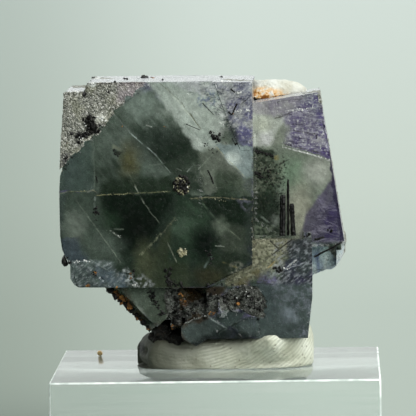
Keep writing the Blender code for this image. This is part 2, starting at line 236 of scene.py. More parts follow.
def group_line():
    """A fine straight crack or vein between two points."""
    wanted = [
        ("Point", "Vector", (0, 0, 0)),
        ("Start", "Vector", (0, 0, 0)),
        ("Run", "Vector", (1, 0, 0)),
        ("Along", "Vector", (1, 0, 0)),
        ("Width", "Float", 0.05),
        ("Fade", "Float", 0.2),
    ]
    tree, given, result = new_group("fine vein", wanted, [("Mask", "Float")])
    away = vector_sum(tree, "SUBTRACT", given["Point"], given["Start"])
    share = vector_sum(tree, "DOT_PRODUCT", away, given["Along"], output="Value")
    share = sum_of(tree, "MINIMUM", sum_of(tree, "MAXIMUM", share, 0.0), 1.0)
    ends = sum_of(tree, "MULTIPLY", share, sum_of(tree, "SUBTRACT", 1.0, share))
    ends = spread_out(tree, ends, -0.02, 0.08, smooth=True)
    off = vector_sum(tree, "SUBTRACT", away, scaled(tree, given["Run"], share))
    gap = vector_sum(tree, "LENGTH", off, output="Value")
    across = spread_out(tree, gap, given["Width"], given["Fade"], 1.0, 0.0, smooth=True)
    put(result["Mask"], sum_of(tree, "MULTIPLY", across, ends))
    return tree


def group_cloud():
    """Soft uneven patches, from 0 to 1."""
    wanted = [
        ("Point", "Vector", (0, 0, 0)),
        ("Scale", "Float", 1.0),
        ("Detail", "Float", 3.0),
        ("Low", "Float", 0.35),
        ("High", "Float", 0.65),
    ]
    tree, given, result = new_group("cloudy patches", wanted, [("Value", "Float")])
    texture = tree.nodes.new("ShaderNodeTexNoise")
    put(texture.inputs["Vector"], given["Point"])
    put(texture.inputs["Scale"], given["Scale"])
    put(texture.inputs["Detail"], given["Detail"])
    put(result["Value"], spread_out(tree, texture.outputs["Fac"], given["Low"], given["High"]))
    return tree


def group_ridges():
    """Thin wandering ridges, like wrinkled frost: 1 along each ridge."""
    wanted = [("Point", "Vector", (0, 0, 0)), ("Scale", "Float", 1.0), ("Detail", "Float", 3.0), ("Width", "Float", 0.04)]
    tree, given, result = new_group("wrinkled ridges", wanted, [("Value", "Float")])
    texture = tree.nodes.new("ShaderNodeTexNoise")
    put(texture.inputs["Vector"], given["Point"])
    put(texture.inputs["Scale"], given["Scale"])
    put(texture.inputs["Detail"], given["Detail"])
    put(texture.inputs["Distortion"], 1.2)
    off = sum_of(tree, "ABSOLUTE", sum_of(tree, "SUBTRACT", texture.outputs["Fac"], 0.5))
    put(result["Value"], spread_out(tree, off, 0.0, given["Width"], 1.0, 0.0, smooth=True))
    return tree


def group_speckle():
    """Tiny grains: a random number for each, and how near its middle a point lies."""
    wanted = [("Point", "Vector", (0, 0, 0)), ("Grains per mm", "Float", 4.0)]
    tree, given, result = new_group("tiny grains", wanted, [("Random", "Float"), ("Middle", "Float")])
    texture = tree.nodes.new("ShaderNodeTexVoronoi")
    put(texture.inputs["Vector"], given["Point"])
    put(texture.inputs["Scale"], given["Grains per mm"])
    split = tree.nodes.new("ShaderNodeSeparateColor")
    put(split.inputs[0], texture.outputs["Color"])
    put(result["Random"], split.outputs[0])
    put(result["Middle"], spread_out(tree, texture.outputs["Distance"], 0.1, 0.8, 1.0, 0.0))
    return tree


def group_cube():
    """Growth zoning of one cube: how near a face, and how near an edge, a point lies."""
    wanted = [("Point", "Vector", (0, 0, 0)), ("Centre", "Vector", (0, 0, 0)), ("Share of half", "Vector", (1, 1, 1))]
    tree, given, result = new_group("cube zoning", wanted, [("Face", "Float"), ("Edge", "Float")])
    away = vector_sum(tree, "SUBTRACT", given["Point"], given["Centre"])
    away = vector_sum(tree, "ABSOLUTE", vector_sum(tree, "MULTIPLY", away, given["Share of half"]))
    split = tree.nodes.new("ShaderNodeSeparateXYZ")
    put(split.inputs[0], away)
    across, deep, high = split.outputs
    upper = sum_of(tree, "MAXIMUM", across, deep)
    lower = sum_of(tree, "MINIMUM", across, deep)
    put(result["Face"], sum_of(tree, "MAXIMUM", upper, high))
    put(result["Edge"], sum_of(tree, "MAXIMUM", lower, sum_of(tree, "MINIMUM", upper, high)))
    return tree


def group_layer(name, mask_group):
    """A drawn layer: it lays a tone over a colour where its mask lies."""
    taken = [item for item in mask_group.interface.items_tree if item.in_out == "INPUT"]
    wanted = [
        ("Under", "Color", (0, 0, 0, 1)),
        ("Tone", "Color", (1, 1, 1, 1)),
        ("Strength", "Float", 1.0),
        ("Grain", "Float", 1.0),
    ]
    wanted += [(item.name, item.socket_type.removeprefix("NodeSocket"), item.default_value) for item in taken]
    tree, given, result = new_group(name, wanted, [("Colour", "Color")])
    mask = use(tree, mask_group, {item.name: given[item.name] for item in taken})
    mask = sum_of(tree, "MULTIPLY", mask, given["Grain"])
    mask = sum_of(tree, "MULTIPLY", mask, given["Strength"])
    put(result["Colour"], blended(tree, mask, given["Under"], given["Tone"]))
    return tree


MASKS = {"zone": group_zone(), "spot": group_spot(), "line": group_line()}
LAYERS = {
    "zone": group_layer("zone layer", MASKS["zone"]),
    "spot": group_layer("spot layer", MASKS["spot"]),
    "line": group_layer("vein layer", MASKS["line"]),
}
CLOUD, RIDGES, SPECKLE, CUBE = group_cloud(), group_ridges(), group_speckle(), group_cube()


def zone_sides(corners, depth, soft):
    """The inward sides of a zone drawn by three or four corners, each as steep as its softness."""
    points = [seen(px, py, depth) for px, py in corners]
    middle = sum(points, Vector()) / len(points)
    values = {}
    for i, start in enumerate(points):
        run = points[(i + 1) % len(points)] - start
        inward = Vector((-run.z, 0.0, run.x)).normalized()
        if inward.dot(middle - start) < 0:
            inward.negate()
        width = 2 * PIXEL * (soft[i] if isinstance(soft, (tuple, list)) else soft)
        values[f"Side {i + 1}"] = tuple(inward / width)
        values[f"Reach {i + 1}"] = 0.5 - inward.dot(start) / width
    return values


def flat_seen(place, depth):
    point = seen(*place, depth)
    return Vector((point.x, 0.0, point.z))


def layer_values(kind, places, soft, depth, point):
    """What a mask group needs for one zone, spot or vein drawn in the picture."""
    if kind == "zone":
        return {"Point": point, **zone_sides(places, depth, soft)}
    if kind == "spot":
        centre, (wide, high) = places
        spread = (1 / (wide * PIXEL), 0.0, 1 / (high * PIXEL))
        centre = flat_seen(centre, depth)
        return {"Point": point, "Centre": centre, "Spread": spread, "Inner": 1 - soft, "Outer": 1 + soft}
    start, end = (flat_seen(place, depth) for place in places)
    run = end - start
    reach = 0.62 * soft * PIXEL
    return {
        "Point": point, "Start": start, "Run": run, "Along": run / run.length_squared, "Width": 0.1 * reach, "Fade": reach
    }


def layer_mask(tree, kind, places, soft, depth, point):
    """The share of a surface that one drawn layer covers."""
    return use(tree, MASKS[kind], layer_values(kind, places, soft, depth, point))


def draw_layers(tree, colour, layers, depth, points, grains, gain):
    """Lays the drawn zones, spots and veins over a colour, one after another."""
    for _, kind, places, soft, tones, strength, grain in layers:
        values = layer_values(kind, places, soft, depth, points["bent" if kind == "line" else "wavy"])
        values |= {"Under": colour, "Tone": shade(tones, gain), "Strength": strength}
        if grain or kind == "line":
            values["Grain"] = grains[grain or "faint"]
        colour = use(tree, LAYERS[kind], values)
    return colour


# ---------------------------------------------------------------- what the crystals show
# Each layer: its name, its kind, its places in the picture, its softness in pixels, its tone, strength and grain
MAIN_LAYERS = (
    ("left panel", "zone", ((58, 140), (94, 120), (94.5, 190), (57, 191)), (3, 5, 1, 1.5), (64, 76, 71), 0.95, None),
    ("middle panel", "zone", ((94, 128), (113, 112), (191, 191), (94, 191)), (1.0, 2, 1.0, 1.5), (64, 74, 66), 1, None),
    ("panel rim", "line", ((94, 136), (94, 190)), 1.4, (96, 107, 101), 0.7, "dash"),
    ("panel rim two", "line", ((94.4, 190), (95.8, 210)), 2.2, (92, 103, 97), 0.6, None),
    ("middle dark", "spot", ((108, 170), (15, 15)), 0.8, (38, 47, 38), 0.75, None),
    ("middle streaks", "zone", ((96, 130), (114, 112), (160, 180), (96, 190)), 3, (98, 108, 100), 0.4, "falling"),
    ("grey mist", "spot", ((104, 142), (9, 16)), 0.8, (88, 98, 90), 0.6, None),
    ("notch", "zone", ((113, 143), (119, 147), (119.5, 152), (112.5, 150)), 0.8, (106, 111, 97), 0.75, None),
    ("notch shade", "zone", ((112.5, 151), (120, 152.5), (118, 156), (113.5, 155)), 0.8, (26, 30, 26), 0.75, None),
    ("mist by the edge", "zone", ((122, 120), (172, 173), (158, 182), (118, 145)), (3, 1, 5, 6), (96, 106, 98), 0.7, None),
    ("olive glow", "spot", ((130, 160), (9, 17)), 0.8, (80, 76, 46), 0.72, None),
    ("green above the seam", "zone", ((96, 196), (180, 196), (172, 176), (106, 178)), (6, 3, 5, 6), (24, 35, 22), 0.85, None),
    ("slope panel", "zone", ((113, 110), (150, 92), (202, 150), (174, 175)), (1.0, 2, 5, 1.0), (66, 76, 67), 1, None),
    ("slope mist", "spot", ((140, 103), (17, 14)), 0.8, (116, 128, 120), 0.85, None),
    ("slope wisps", "zone", ((118, 108), (150, 88), (178, 140), (150, 150)), 4, (136, 147, 140), 0.3, "falling"),
    ("slope dark", "spot", ((172, 150), (27, 17)), 0.7, (27, 37, 29), 0.95, None),
    ("slope dark two", "spot", ((152, 136), (22, 12)), 0.8, (34, 43, 37), 0.7, None),
    ("dark by the ring", "zone", ((165, 165), (196, 148), (212, 178), (186, 196)), (3, 4, 4, 3), (44, 53, 44), 0.8, None),
    ("veil", "zone", ((146, 80), (232, 80), (216, 150), (199, 151)), (3.5, 1.5, 2.5, 3), (166, 174, 167), 0.94, None),
    ("veil hollows", "zone", ((150, 80), (240, 80), (216, 150), (190, 140)), 4, (126, 137, 130), 0.7, "cloud"),
    ("veil wisps", "zone", ((150, 80), (240, 80), (216, 150), (196, 148)), 4, (192, 199, 192), 0.3, "falling"),
    ("veil shine", "spot", ((185, 106), (20, 15)), 0.8, (186, 193, 186), 0.6, "cloud"),
    ("veil glow", "spot", ((210, 118), (12, 16)), 0.7, (164, 172, 164), 0.7, None),
    ("frost corner", "zone", ((212, 79), (254, 79), (254, 150), (236, 128)), (4, 1, 1, 4), (154, 156, 156), 0.95, None),
    ("frost band", "zone", ((170, 79), (254, 79), (254, 92), (186, 92)), (4, 1, 1, 4), (178, 180, 184), 0.8, "cloud"),
    ("purple corner", "zone", ((216, 84), (254, 82), (254, 150), (232, 128)), (5, 2, 1, 4), (93, 93, 120), 0.9, "cloud"),
    ("blue specks", "spot", ((209, 99), (13, 8)), 0.5, (84, 96, 122), 0.9, "patch"),
    ("purple bar", "zone", ((237, 116), (253, 112), (253, 150), (240, 150)), (3, 2, 1, 3), (92, 90, 128), 0.75, "cloud"),
    ("corner flecks", "zone", ((190, 80), (254, 80), (254, 132), (222, 126)), 3, (204, 205, 212), 0.55, "rising"),
    # Dark bluish creases in the corner frost: painted shade.
    ("corner creases painted shade", "zone", ((196, 82), (254, 82), (254, 150), (222, 126)), 3, (58, 58, 72), 0.7, "crease"),
    ("corner frost", "zone", ((200, 80), (254, 80), (254, 146), (226, 128)), 3, (200, 200, 206), 0.45, "glint"),
    ("misty triangle", "zone", ((214, 144), (253, 146), (253, 180), (245, 179)), (1.0, 2, 1, 1.2), (124, 137, 136), 1, None),
    ("misty triangle glow", "spot", ((240, 158), (9, 12)), 0.8, (146, 158, 158), 0.6, None),
    # A near-white spot painted as a reflection inside the crystal.
    ("painted reflection spot", "spot", ((232, 159), (7, 6)), 0.8, (190, 200, 194), 0.95, None),
    ("grey brown panel", "zone", ((198, 152), (214, 146), (244, 178), (205, 196)), (4, 1.5, 1.2, 4), (98, 104, 94), 0.95, None),
    ("grey brown dark", "zone", ((216, 170), (236, 172), (252, 198), (214, 198)), (4, 4, 3, 3), (46, 57, 44), 0.8, None),
    ("edge panel", "zone", ((236, 178), (253, 176), (253, 202), (240, 202)), (4, 3, 1, 3), (72, 81, 68), 0.8, None),
    ("ring mist", "spot", ((193, 172), (8, 8)), 0.9, (94, 102, 92), 0.5, "cloud"),
    ("lower field", "zone", ((56, 193), (256, 197), (256, 292), (60, 292)), (1, 1, 1, 1), (34, 44, 36), 1, None),
    ("low left panel", "zone", ((56, 193), (96, 192), (124, 262), (66, 275)), (1, 1, 6, 3), (60, 70, 62), 0.97, None),
    ("low left dark", "zone", ((96, 192), (120, 192), (128, 262), (108, 240)), (1, 6, 6, 3), (44, 54, 44), 0.6, None),
    ("pale blob", "spot", ((75, 226), (11, 13)), 0.8, (118, 126, 117), 0.6, None),
    ("dark corner strip", "zone", ((58, 193), (66, 193), (62, 236), (58, 236)), (1, 4, 4, 1), (52, 60, 60), 0.6, None),
    ("low violet", "zone", ((60, 240), (76, 236), (90, 262), (64, 266)), (1, 5, 4, 2), (64, 73, 86), 0.6, None),
    ("core", "zone", ((99, 194), (176, 194), (146, 246), (122, 256)), (2.5, 4, 5, 5), (15, 25, 17), 1, None),
    ("core dark", "spot", ((138, 226), (16, 18)), 0.8, (11, 18, 12), 0.95, None),
    ("core green", "spot", ((110, 221), (9, 8)), 0.9, (38, 55, 40), 0.7, None),
    ("low mist", "spot", ((104, 246), (16, 11)), 0.8, (82, 92, 84), 0.7, None),
    ("olive panel", "zone", ((170, 222), (186, 240), (190, 290), (134, 290)), (2, 4, 4, 4), (48, 55, 41), 1, None),
    ("olive mist", "spot", ((144, 260), (9, 16)), 0.8, (74, 78, 58), 0.7, None),
    ("olive shadow", "spot", ((174, 264), (10, 16)), 0.8, (36, 44, 30), 0.7, None),
    ("teal veil", "zone", ((176, 192), (206, 202), (222, 262), (168, 262)), (4, 3, 6, 4), (36, 49, 38), 0.95, None),
    ("teal mist", "spot", ((182, 226), (9, 8)), 0.9, (72, 88, 74), 0.75, None),
    ("teal wedge", "zone", ((184, 196), (208, 214), (206, 250), (180, 240)), (3, 3, 5, 5), (52, 68, 54), 0.5, None),
    ("deep band", "zone", ((202, 201), (246, 201), (246, 226), (236, 238)), (2, 2, 3, 1.5), (22, 32, 23), 0.95, None),
    ("deep core", "spot", ((204, 244), (11, 15)), 0.7, (6, 12, 8), 0.95, None),
    ("grey panel", "zone", ((214, 222), (244, 226), (252, 256), (222, 252)), (3, 5, 3, 5), (60, 67, 57), 0.85, None),
    ("grey mist two", "spot", ((221, 226), (6, 8)), 0.8, (108, 118, 104), 0.6, None),
    ("purple grains", "zone", ((236, 199), (254, 199), (254, 212), (244, 212)), 2, (86, 86, 98), 0.8, "patch"),
    ("right shade", "zone", ((244, 205), (254, 205), (254, 270), (248, 262)), (3, 1, 1, 4), (44, 50, 46), 0.7, None),
    ("violet end", "zone", ((244, 246), (255, 246), (255, 270), (240, 270)), (3, 2, 1, 3), (48, 52, 66), 0.5, "cloud"),
    ("brown mist", "spot", ((210, 276), (16, 9)), 0.8, (54, 51, 33), 0.7, None),
    ("low green", "spot", ((226, 262), (16, 9)), 0.9, (34, 40, 30), 0.7, None),
    ("frost spot", "spot", ((237, 269), (8, 6)), 0.6, (120, 120, 108), 0.8, "patch"),
    ("frost low left", "zone", ((66, 262), (112, 260), (122, 291), (70, 291)), (2, 3, 3, 1), (84, 94, 92), 0.85, None),
    ("frost wisps", "zone", ((68, 262), (112, 262), (126, 291), (72, 291)), 3, (176, 182, 186), 0.6, "rising"),
    ("frost dark", "zone", ((70, 263), (110, 266), (118, 291), (74, 291)), 3, (44, 52, 54), 0.75, "patch"),
    ("white frost one", "spot", ((126, 277), (7, 7)), 0.5, (158, 163, 164), 0.9, "patch"),
    ("white frost two", "spot", ((141, 283), (10, 6)), 0.5, (148, 152, 154), 0.9, "patch"),
    ("low edge blue", "zone", ((96, 262), (124, 274), (128, 291), (100, 291)), (3, 3, 3, 1), (84, 96, 108), 0.6, "cloud"),
    ("bright edge faint", "line", ((112, 112), (134, 137)), 1.6, (104, 112, 106), 0.8, None),
    ("bright edge", "line", ((128, 131.5), (158, 156.5)), 1.3, (158, 170, 166), 0.8, None),
    ("bright edge end", "line", ((156, 155), (171, 173)), 1.3, (128, 140, 132), 0.8, None),
    ("panel edge", "line", ((94, 134), (94.6, 190)), 1.5, (92, 101, 92), 0.55, None),
    ("seam needle", "line", ((127, 170), (136, 187)), 1.4, (108, 114, 98), 0.8, None),
    ("seam needle low", "line", ((134, 185), (145, 204.5)), 1.5, (142, 146, 134), 0.75, None),
    ("seam needle end", "line", ((145, 204.5), (160, 224)), 1.0, (112, 118, 106), 0.75, None),
    ("panel crack", "line", ((149, 166), (166, 163)), 2.0, (96, 106, 96), 0.6, None),
    ("long line one", "line", ((158, 81), (180, 101)), 1.2, (94, 98, 86), 0.9, None),
    ("long line one low", "line", ((180, 101), (202, 130)), 1.1, (100, 100, 84), 0.85, None),
    ("long line one gleam", "line", ((163, 84), (199, 127)), 1.0, (186, 190, 176), 0.7, "dash"),
    ("long line two", "line", ((190, 113), (201, 130)), 1.2, (104, 104, 86), 0.9, None),
    ("veil crack", "line", ((186, 124), (199, 130)), 1.3, (70, 78, 74), 0.8, None),
    ("triangle edge", "line", ((215, 146), (246, 178)), 1.5, (150, 152, 130), 0.85, None),
    ("slope line", "line", ((214, 153), (197, 170)), 1.4, (120, 128, 116), 0.75, None),
    ("ring line", "line", ((200, 172), (214, 187)), 1.4, (122, 128, 114), 0.6, None),
    ("ring ray", "line", ((187, 172), (192, 166)), 1.6, (132, 140, 134), 0.7, None),
    ("ring ray two", "line", ((176, 168), (182, 171)), 1.6, (110, 118, 108), 0.6, None),
    ("seam left", "line", ((59, 194), (69, 191.5)), 1.4, (120, 124, 110), 0.7, None),
    ("seam left two", "line", ((69, 191.5), (94, 190.7)), 1.4, (108, 110, 88), 0.75, "dash"),
    ("seam middle", "line", ((95, 195.2), (131, 193.6)), 1.3, (126, 124, 92), 0.8, "dash"),
    ("seam middle two", "line", ((118, 194), (171, 191.4)), 1.1, (112, 114, 86), 0.75, "dash"),
    ("seam right", "line", ((190, 198.6), (216, 197.2)), 1.3, (122, 120, 94), 0.8, "dash"),
    ("seam right two", "line", ((214, 197.2), (250, 200)), 1.3, (118, 112, 88), 0.8, "dash"),
    ("streak", "line", ((95, 196), (95, 209)), 2.4, (140, 150, 144), 0.75, None),
    ("long scratch", "line", ((76, 200), (92, 222)), 1.1, (112, 120, 110), 0.75, None),
    ("long scratch two", "line", ((92, 222), (121, 263)), 1.1, (128, 136, 124), 0.8, None),
    ("comet", "line", ((110, 230.5), (121, 237.5)), 1.7, (172, 178, 168), 0.7, "dash"),
    ("short streak", "line", ((114, 229), (124, 229)), 1.6, (108, 118, 106), 0.5, None),
    ("rough line", "line", ((176, 217), (160, 236)), 1.5, (98, 102, 84), 0.7, "dash"),
    ("rough line low", "line", ((161, 234), (139, 257)), 2.8, (116, 120, 98), 0.85, "patch"),
    ("boundary", "line", ((202, 202.5), (216, 219.6)), 2.2, (88, 104, 86), 0.75, None),
    ("boundary low", "line", ((216, 219.6), (241, 240)), 1.8, (106, 114, 98), 0.8, None),
    ("grain needle", "line", ((167, 241.5), (177, 263)), 1.3, (120, 124, 110), 0.8, None),
    ("right fleck", "line", ((215, 245.5), (225, 247)), 1.4, (150, 156, 146), 0.7, None),
    ("low ray", "line", ((204, 268), (212, 256)), 2.6, (104, 116, 112), 0.7, None),
    ("low ray two", "line", ((222, 262), (238, 268)), 2.2, (98, 92, 64), 0.7, None),
    ("low line", "line", ((88, 258), (110, 272)), 1.3, (126, 134, 132), 0.7, "dash"),
    ("low left line", "line", ((71, 261.5), (91, 261)), 1.5, (150, 158, 160), 0.8, "dash"),
    ("white fleck", "line", ((146, 125), (152, 127)), 1.8, (178, 182, 176), 0.55, None),
)
RIGHT_LAYERS = (
    ("top frost", "zone", ((252, 96), (300, 90), (296, 112), (252, 124)), (1, 1, 5, 3), (156, 155, 156), 0.95, None),
    ("top lilac", "zone", ((258, 98), (318, 86), (310, 112), (262, 120)), 3, (124, 118, 134), 0.75, "cloud"),
    ("purple field", "zone", ((280, 120), (322, 88), (335, 162), (283, 146)), (5, 1, 1, 1.2), (120, 116, 134), 0.97, None),
    ("purple deep", "zone", ((288, 112), (324, 92), (336, 164), (294, 147)), (5, 1, 1, 2), (84, 75, 112), 0.85, "cloud"),
    ("purple edge", "zone", ((314, 90), (326, 90), (337, 165), (322, 160)), (5, 1, 1, 3), (72, 58, 112), 0.8, "cloud"),
    ("frost ripples", "zone", ((278, 118), (322, 90), (332, 156), (284, 143)), (4, 1, 2, 2), (180, 178, 188), 0.5, "wrinkle"),
    # Dark creases in the purple frost: painted shade.
    ("field creases painted shade", "zone", ((278, 118), (322, 90), (334, 160), (284, 146)), (4, 1, 2, 2), (48, 42, 62), 0.6, "crease"),
    ("field glints", "zone", ((256, 100), (322, 88), (332, 158), (284, 146)), (4, 1, 2, 2), (204, 204, 208), 0.7, "glint"),
    ("bumpy patch", "spot", ((316, 139), (7, 5)), 0.5, (158, 156, 160), 0.8, "patch"),
    ("clear window", "zone", ((250, 112), (284, 120), (267, 150), (250, 145)), (3, 3, 1.2, 1.5), (169, 174, 165), 1, None),
    ("window glow", "spot", ((266, 139), (6, 7)), 0.8, (206, 211, 203), 0.85, None),
    ("window glow two", "spot", ((262, 124), (8, 6)), 0.9, (186, 190, 174), 0.7, None),
    ("window side", "zone", ((268, 150), (284, 121), (290, 130), (282, 150)), (1.2, 3, 4, 3), (128, 134, 122), 0.9, None),
    ("body", "zone", ((250, 147), (283, 144), (346, 164), (356, 250)), (2, 1, 1, 1), (116, 124, 112), 1, None),
    ("body lower", "zone", ((250, 147), (284, 148), (320, 250), (250, 250)), (2, 1, 6, 1), (112, 120, 108), 1, None),
    ("green window", "spot", ((291, 172), (15, 15)), 0.8, (110, 131, 110), 0.85, None),
    ("grey window", "spot", ((318, 172), (14, 12)), 0.7, (162, 165, 156), 0.9, None),
    ("beige field", "spot", ((300, 212), (11, 26)), 0.7, (152, 152, 136), 0.9, None),
    ("dark field", "zone", ((250, 146), (276, 150), (280, 238), (250, 240)), (1, 5, 3, 1), (46, 56, 45), 0.95, None),
    ("dark field low", "spot", ((262, 202), (10, 20)), 0.8, (26, 36, 26), 0.85, None),
    ("dark mottle", "zone", ((250, 150), (284, 156), (284, 186), (250, 196)), 4, (104, 112, 96), 0.6, "patch"),
    ("dark pits", "zone", ((250, 148), (290, 156), (280, 236), (250, 240)), 4, (28, 34, 26), 0.8, "pit"),
    ("yellow grains", "zone", ((252, 150), (284, 156), (276, 205), (252, 210)), 4, (112, 112, 92), 0.25, "glint"),
    ("low purple", "zone", ((338, 170), (352, 250), (300, 250), (304, 216)), (1.5, 1, 3, 2.5), (82, 78, 94), 0.95, None),
    ("low purple deep", "zone", ((334, 178), (350, 232), (326, 250), (318, 200)), (2, 1, 4, 5), (58, 50, 84), 0.85, "cloud"),
    ("low purple frost", "zone", ((318, 196), (346, 210), (344, 250), (304, 250)), 4, (140, 136, 152), 0.42, "wrinkle"),
    # Dark creases in the lower purple frost: painted shade.
    ("low purple creases painted shade", "zone", ((320, 190), (348, 200), (346, 250), (308, 250)), 4, (40, 36, 56), 0.55, "crease"),
    ("veil line", "line", ((260, 216), (281, 231)), 2.6, (128, 138, 128), 0.8, None),
    ("white patch", "spot", ((275, 221), (6, 5)), 0.7, (176, 182, 172), 0.85, "cloud"),
    ("low glints", "zone", ((252, 224), (280, 222), (280, 240), (252, 240)), 3, (112, 122, 104), 0.6, "patch"),
    ("yellow spot", "spot", ((277.4, 157.6), (2.4, 2.6)), 0.5, (150, 136, 80), 0.7, "cloud"),
    ("step line", "line", ((283, 144), (322, 153)), 1.4, (78, 76, 72), 0.85, None),
    ("step gleam", "line", ((284, 147), (311, 154.5)), 1.5, (206, 208, 202), 0.9, "dash"),
    ("step gleam two", "line", ((297, 150.5), (331, 161)), 1.6, (222, 224, 220), 0.95, None),
    ("step shade", "line", ((254, 149), (273, 155)), 3.2, (28, 34, 28), 0.9, None),
    ("crack one", "line", ((274, 118.5), (284, 116)), 1.6, (66, 64, 58), 0.85, None),
    ("crack two", "line", ((284, 116), (295, 110)), 1.5, (62, 60, 58), 0.85, None),
    ("crack three", "line", ((292, 130), (318, 134.5)), 1.4, (72, 68, 66), 0.8, None),
    ("window edge", "line", ((267, 149.5), (284, 121.5)), 1.4, (150, 156, 140), 0.7, None),
    ("top gleam", "line", ((253, 102.3), (275, 98)), 2.0, (212, 212, 210), 0.9, None),
    ("top gleam two", "line", ((275, 98), (303, 93)), 1.8, (190, 190, 190), 0.7, "dash"),
    ("ripple gleam", "line", ((283, 110.5), (318, 108.5)), 1.8, (192, 192, 194), 0.7, "dash"),
    # The right crystal's side face is painted dark purple: partly its own colour, partly painted shade over the light
    # that falls on that side.
    ("side face painted shade", "zone", ((321.5, 86), (334, 86), (354, 242), (339.5, 242)), 0.8, (48, 42, 66), 0.9, None),
    ("diagonal bits", "line", ((279, 164), (287, 159)), 2.0, (58, 60, 50), 0.8, "dash"),
)
LOWER_LAYERS = (
    ("frosty top", "zone", ((226, 236), (304, 236), (286, 262), (226, 290)), (1, 4, 5, 1), (104, 103, 84), 0.95, None),
    ("frosty grains", "zone", ((226, 236), (300, 238), (284, 264), (226, 290)), 4, (148, 146, 126), 0.75, "patch"),
    ("frosty pits", "zone", ((226, 236), (313, 238), (313, 290), (226, 300)), 4, (50, 50, 42), 0.6, "pit"),
    ("right band", "zone", ((290, 238), (315, 238), (315, 290), (280, 284)), (4, 1, 3, 4), (48, 51, 55), 0.95, None),
    ("purple band", "zone", ((284, 262), (315, 256), (315, 288), (284, 286)), (4, 3, 4, 4), (50, 48, 68), 0.85, "cloud"),
    ("right glints", "zone", ((276, 240), (315, 240), (315, 290), (270, 286)), 3, (168, 170, 178), 0.5, "rising"),
    ("right dark", "zone", ((286, 240), (315, 240), (315, 290), (276, 286)), 3, (30, 32, 36), 0.7, "crease"),
    ("olive line", "zone", ((214, 298), (258, 268), (262, 276), (216, 306)), 2, (84, 78, 50), 0.8, "cloud"),
    ("smooth field", "zone", ((252, 284), (315, 284), (314, 342), (252, 342)), (3, 1, 1, 3), (64, 73, 72), 0.97, None),
    ("smooth dark", "spot", ((262, 300), (12, 14)), 0.8, (52, 60, 62), 0.7, "cloud"),
    ("sheen", "spot", ((295, 315), (13, 8)), 0.7, (122, 130, 138), 0.9, "cloud"),
    ("sheen low", "spot", ((303, 332), (8, 5)), 0.7, (104, 108, 118), 0.7, "patch"),
    ("field frost", "zone", ((272, 284), (312, 284), (312, 312), (276, 306)), 4, (104, 108, 118), 0.5, "patch"),
    ("needle line one", "line", ((292, 239), (264, 261)), 1.5, (66, 66, 56), 0.9, None),
    ("needle line two", "line", ((270, 240), (279, 249)), 1.5, (60, 60, 48), 0.85, None),
    ("white diagonal", "line", ((278, 275), (297, 259)), 1.8, (170, 170, 176), 0.8, "dash"),
    ("white diagonal two", "line", ((284, 270), (307, 262)), 1.8, (150, 150, 160), 0.7, "dash"),
    ("band line", "line", ((250, 283), (274, 284)), 1.8, (36, 38, 36), 0.85, None),
    ("orange sliver", "line", ((266, 269.5), (276, 260.6)), 1.6, (150, 124, 70), 0.7, "dash"),
)
FOOT_LAYERS = (
    # The gap between the tongue and the tips is painted dark brown: partly its own colour, partly painted shade.
    ("gap", "zone", ((160, 286), (226, 286), (196, 350), (158, 344)), 3, (46, 38, 26), 0.95, None),
    ("gap rust", "zone", ((164, 288), (196, 288), (180, 350), (150, 344)), 4, (72, 50, 28), 0.6, "patch"),
    ("tongue face", "zone", ((122, 286), (168, 286), (168, 322), (154, 326)), (1.5, 3, 3, 2), (68, 76, 66), 0.97, None),
    ("tongue mist", "spot", ((138, 300), (12, 9)), 0.8, (92, 102, 92), 0.7, None),
    ("tongue edge rust", "zone", ((98, 286), (124, 286), (152, 330), (146, 342)), (1, 3, 3, 1), (66, 54, 34), 0.9, "cloud"),
    ("tip one", "zone", ((180, 327), (215, 318), (227, 327), (196, 347)), 1.5, (54, 62, 60), 0.97, None),
    ("tip one mist", "spot", ((190, 331), (9, 8)), 0.8, (78, 88, 86), 0.7, None),
    ("tip two", "zone", ((215, 319), (223, 311), (246, 312), (228, 327)), 1.5, (54, 63, 61), 0.97, None),
    ("tip three", "zone", ((230, 327), (250, 317), (260, 318), (258, 338)), 1.5, (48, 56, 55), 0.9, None),
    ("tip line", "line", ((208, 317), (227, 328)), 1.8, (138, 146, 144), 0.85, None),
    ("tip edge", "line", ((196, 346.5), (228, 328)), 1.6, (104, 114, 111), 0.8, None),
    ("tip edge two", "line", ((181, 331), (195, 346)), 1.6, (88, 98, 95), 0.7, None),
    ("tip edge three", "line", ((229, 326), (248, 316)), 1.6, (96, 105, 103), 0.8, "dash"),
    ("tip front", "spot", ((200, 336), (13, 7)), 0.7, (64, 74, 71), 0.7, None),
    ("tip shade", "spot", ((221, 334), (7, 4)), 0.7, (28, 34, 33), 0.8, None),
    ("tip right", "spot", ((248, 328), (9, 7)), 0.6, (72, 81, 80), 0.7, None),
    ("tip line two", "line", ((184, 323), (212, 314)), 1.5, (140, 146, 142), 0.7, "dash"),
    # A painted shadow under the slanting tips.
    ("painted shade under tips", "zone", ((186, 344), (226, 328), (262, 338), (240, 352)), 3, (24, 29, 28), 0.85, None),
)
# Patches of etched crust, as outlines in the picture; how deep their pits are is set in crust_depth
ETCHED_CORNER = (
    (58, 172), (60.3, 170.4), (63, 164.7), (73, 155.4), (79.6, 149.7), (85.3, 142.6), (95.3, 135.4), (101.7, 127),
    (108, 122), (112.4, 115.4), (114.6, 109.7), (120.3, 107), (124.6, 102.6), (127.4, 97.6), (134.6, 92.6), (140, 89),
    (148, 76), (80, 74), (58, 80),
)
GRANULAR_BAND = (
    (197, 312), (206, 298), (226, 292), (243, 285), (258, 287), (266, 300), (264, 318), (252, 316), (240, 309),
    (222, 311), (205, 317),
)
BLACK_GRAINS = ((166, 266), (178, 266), (180, 312), (196, 300), (210, 292), (206, 300), (190, 318), (170, 330), (164, 300))
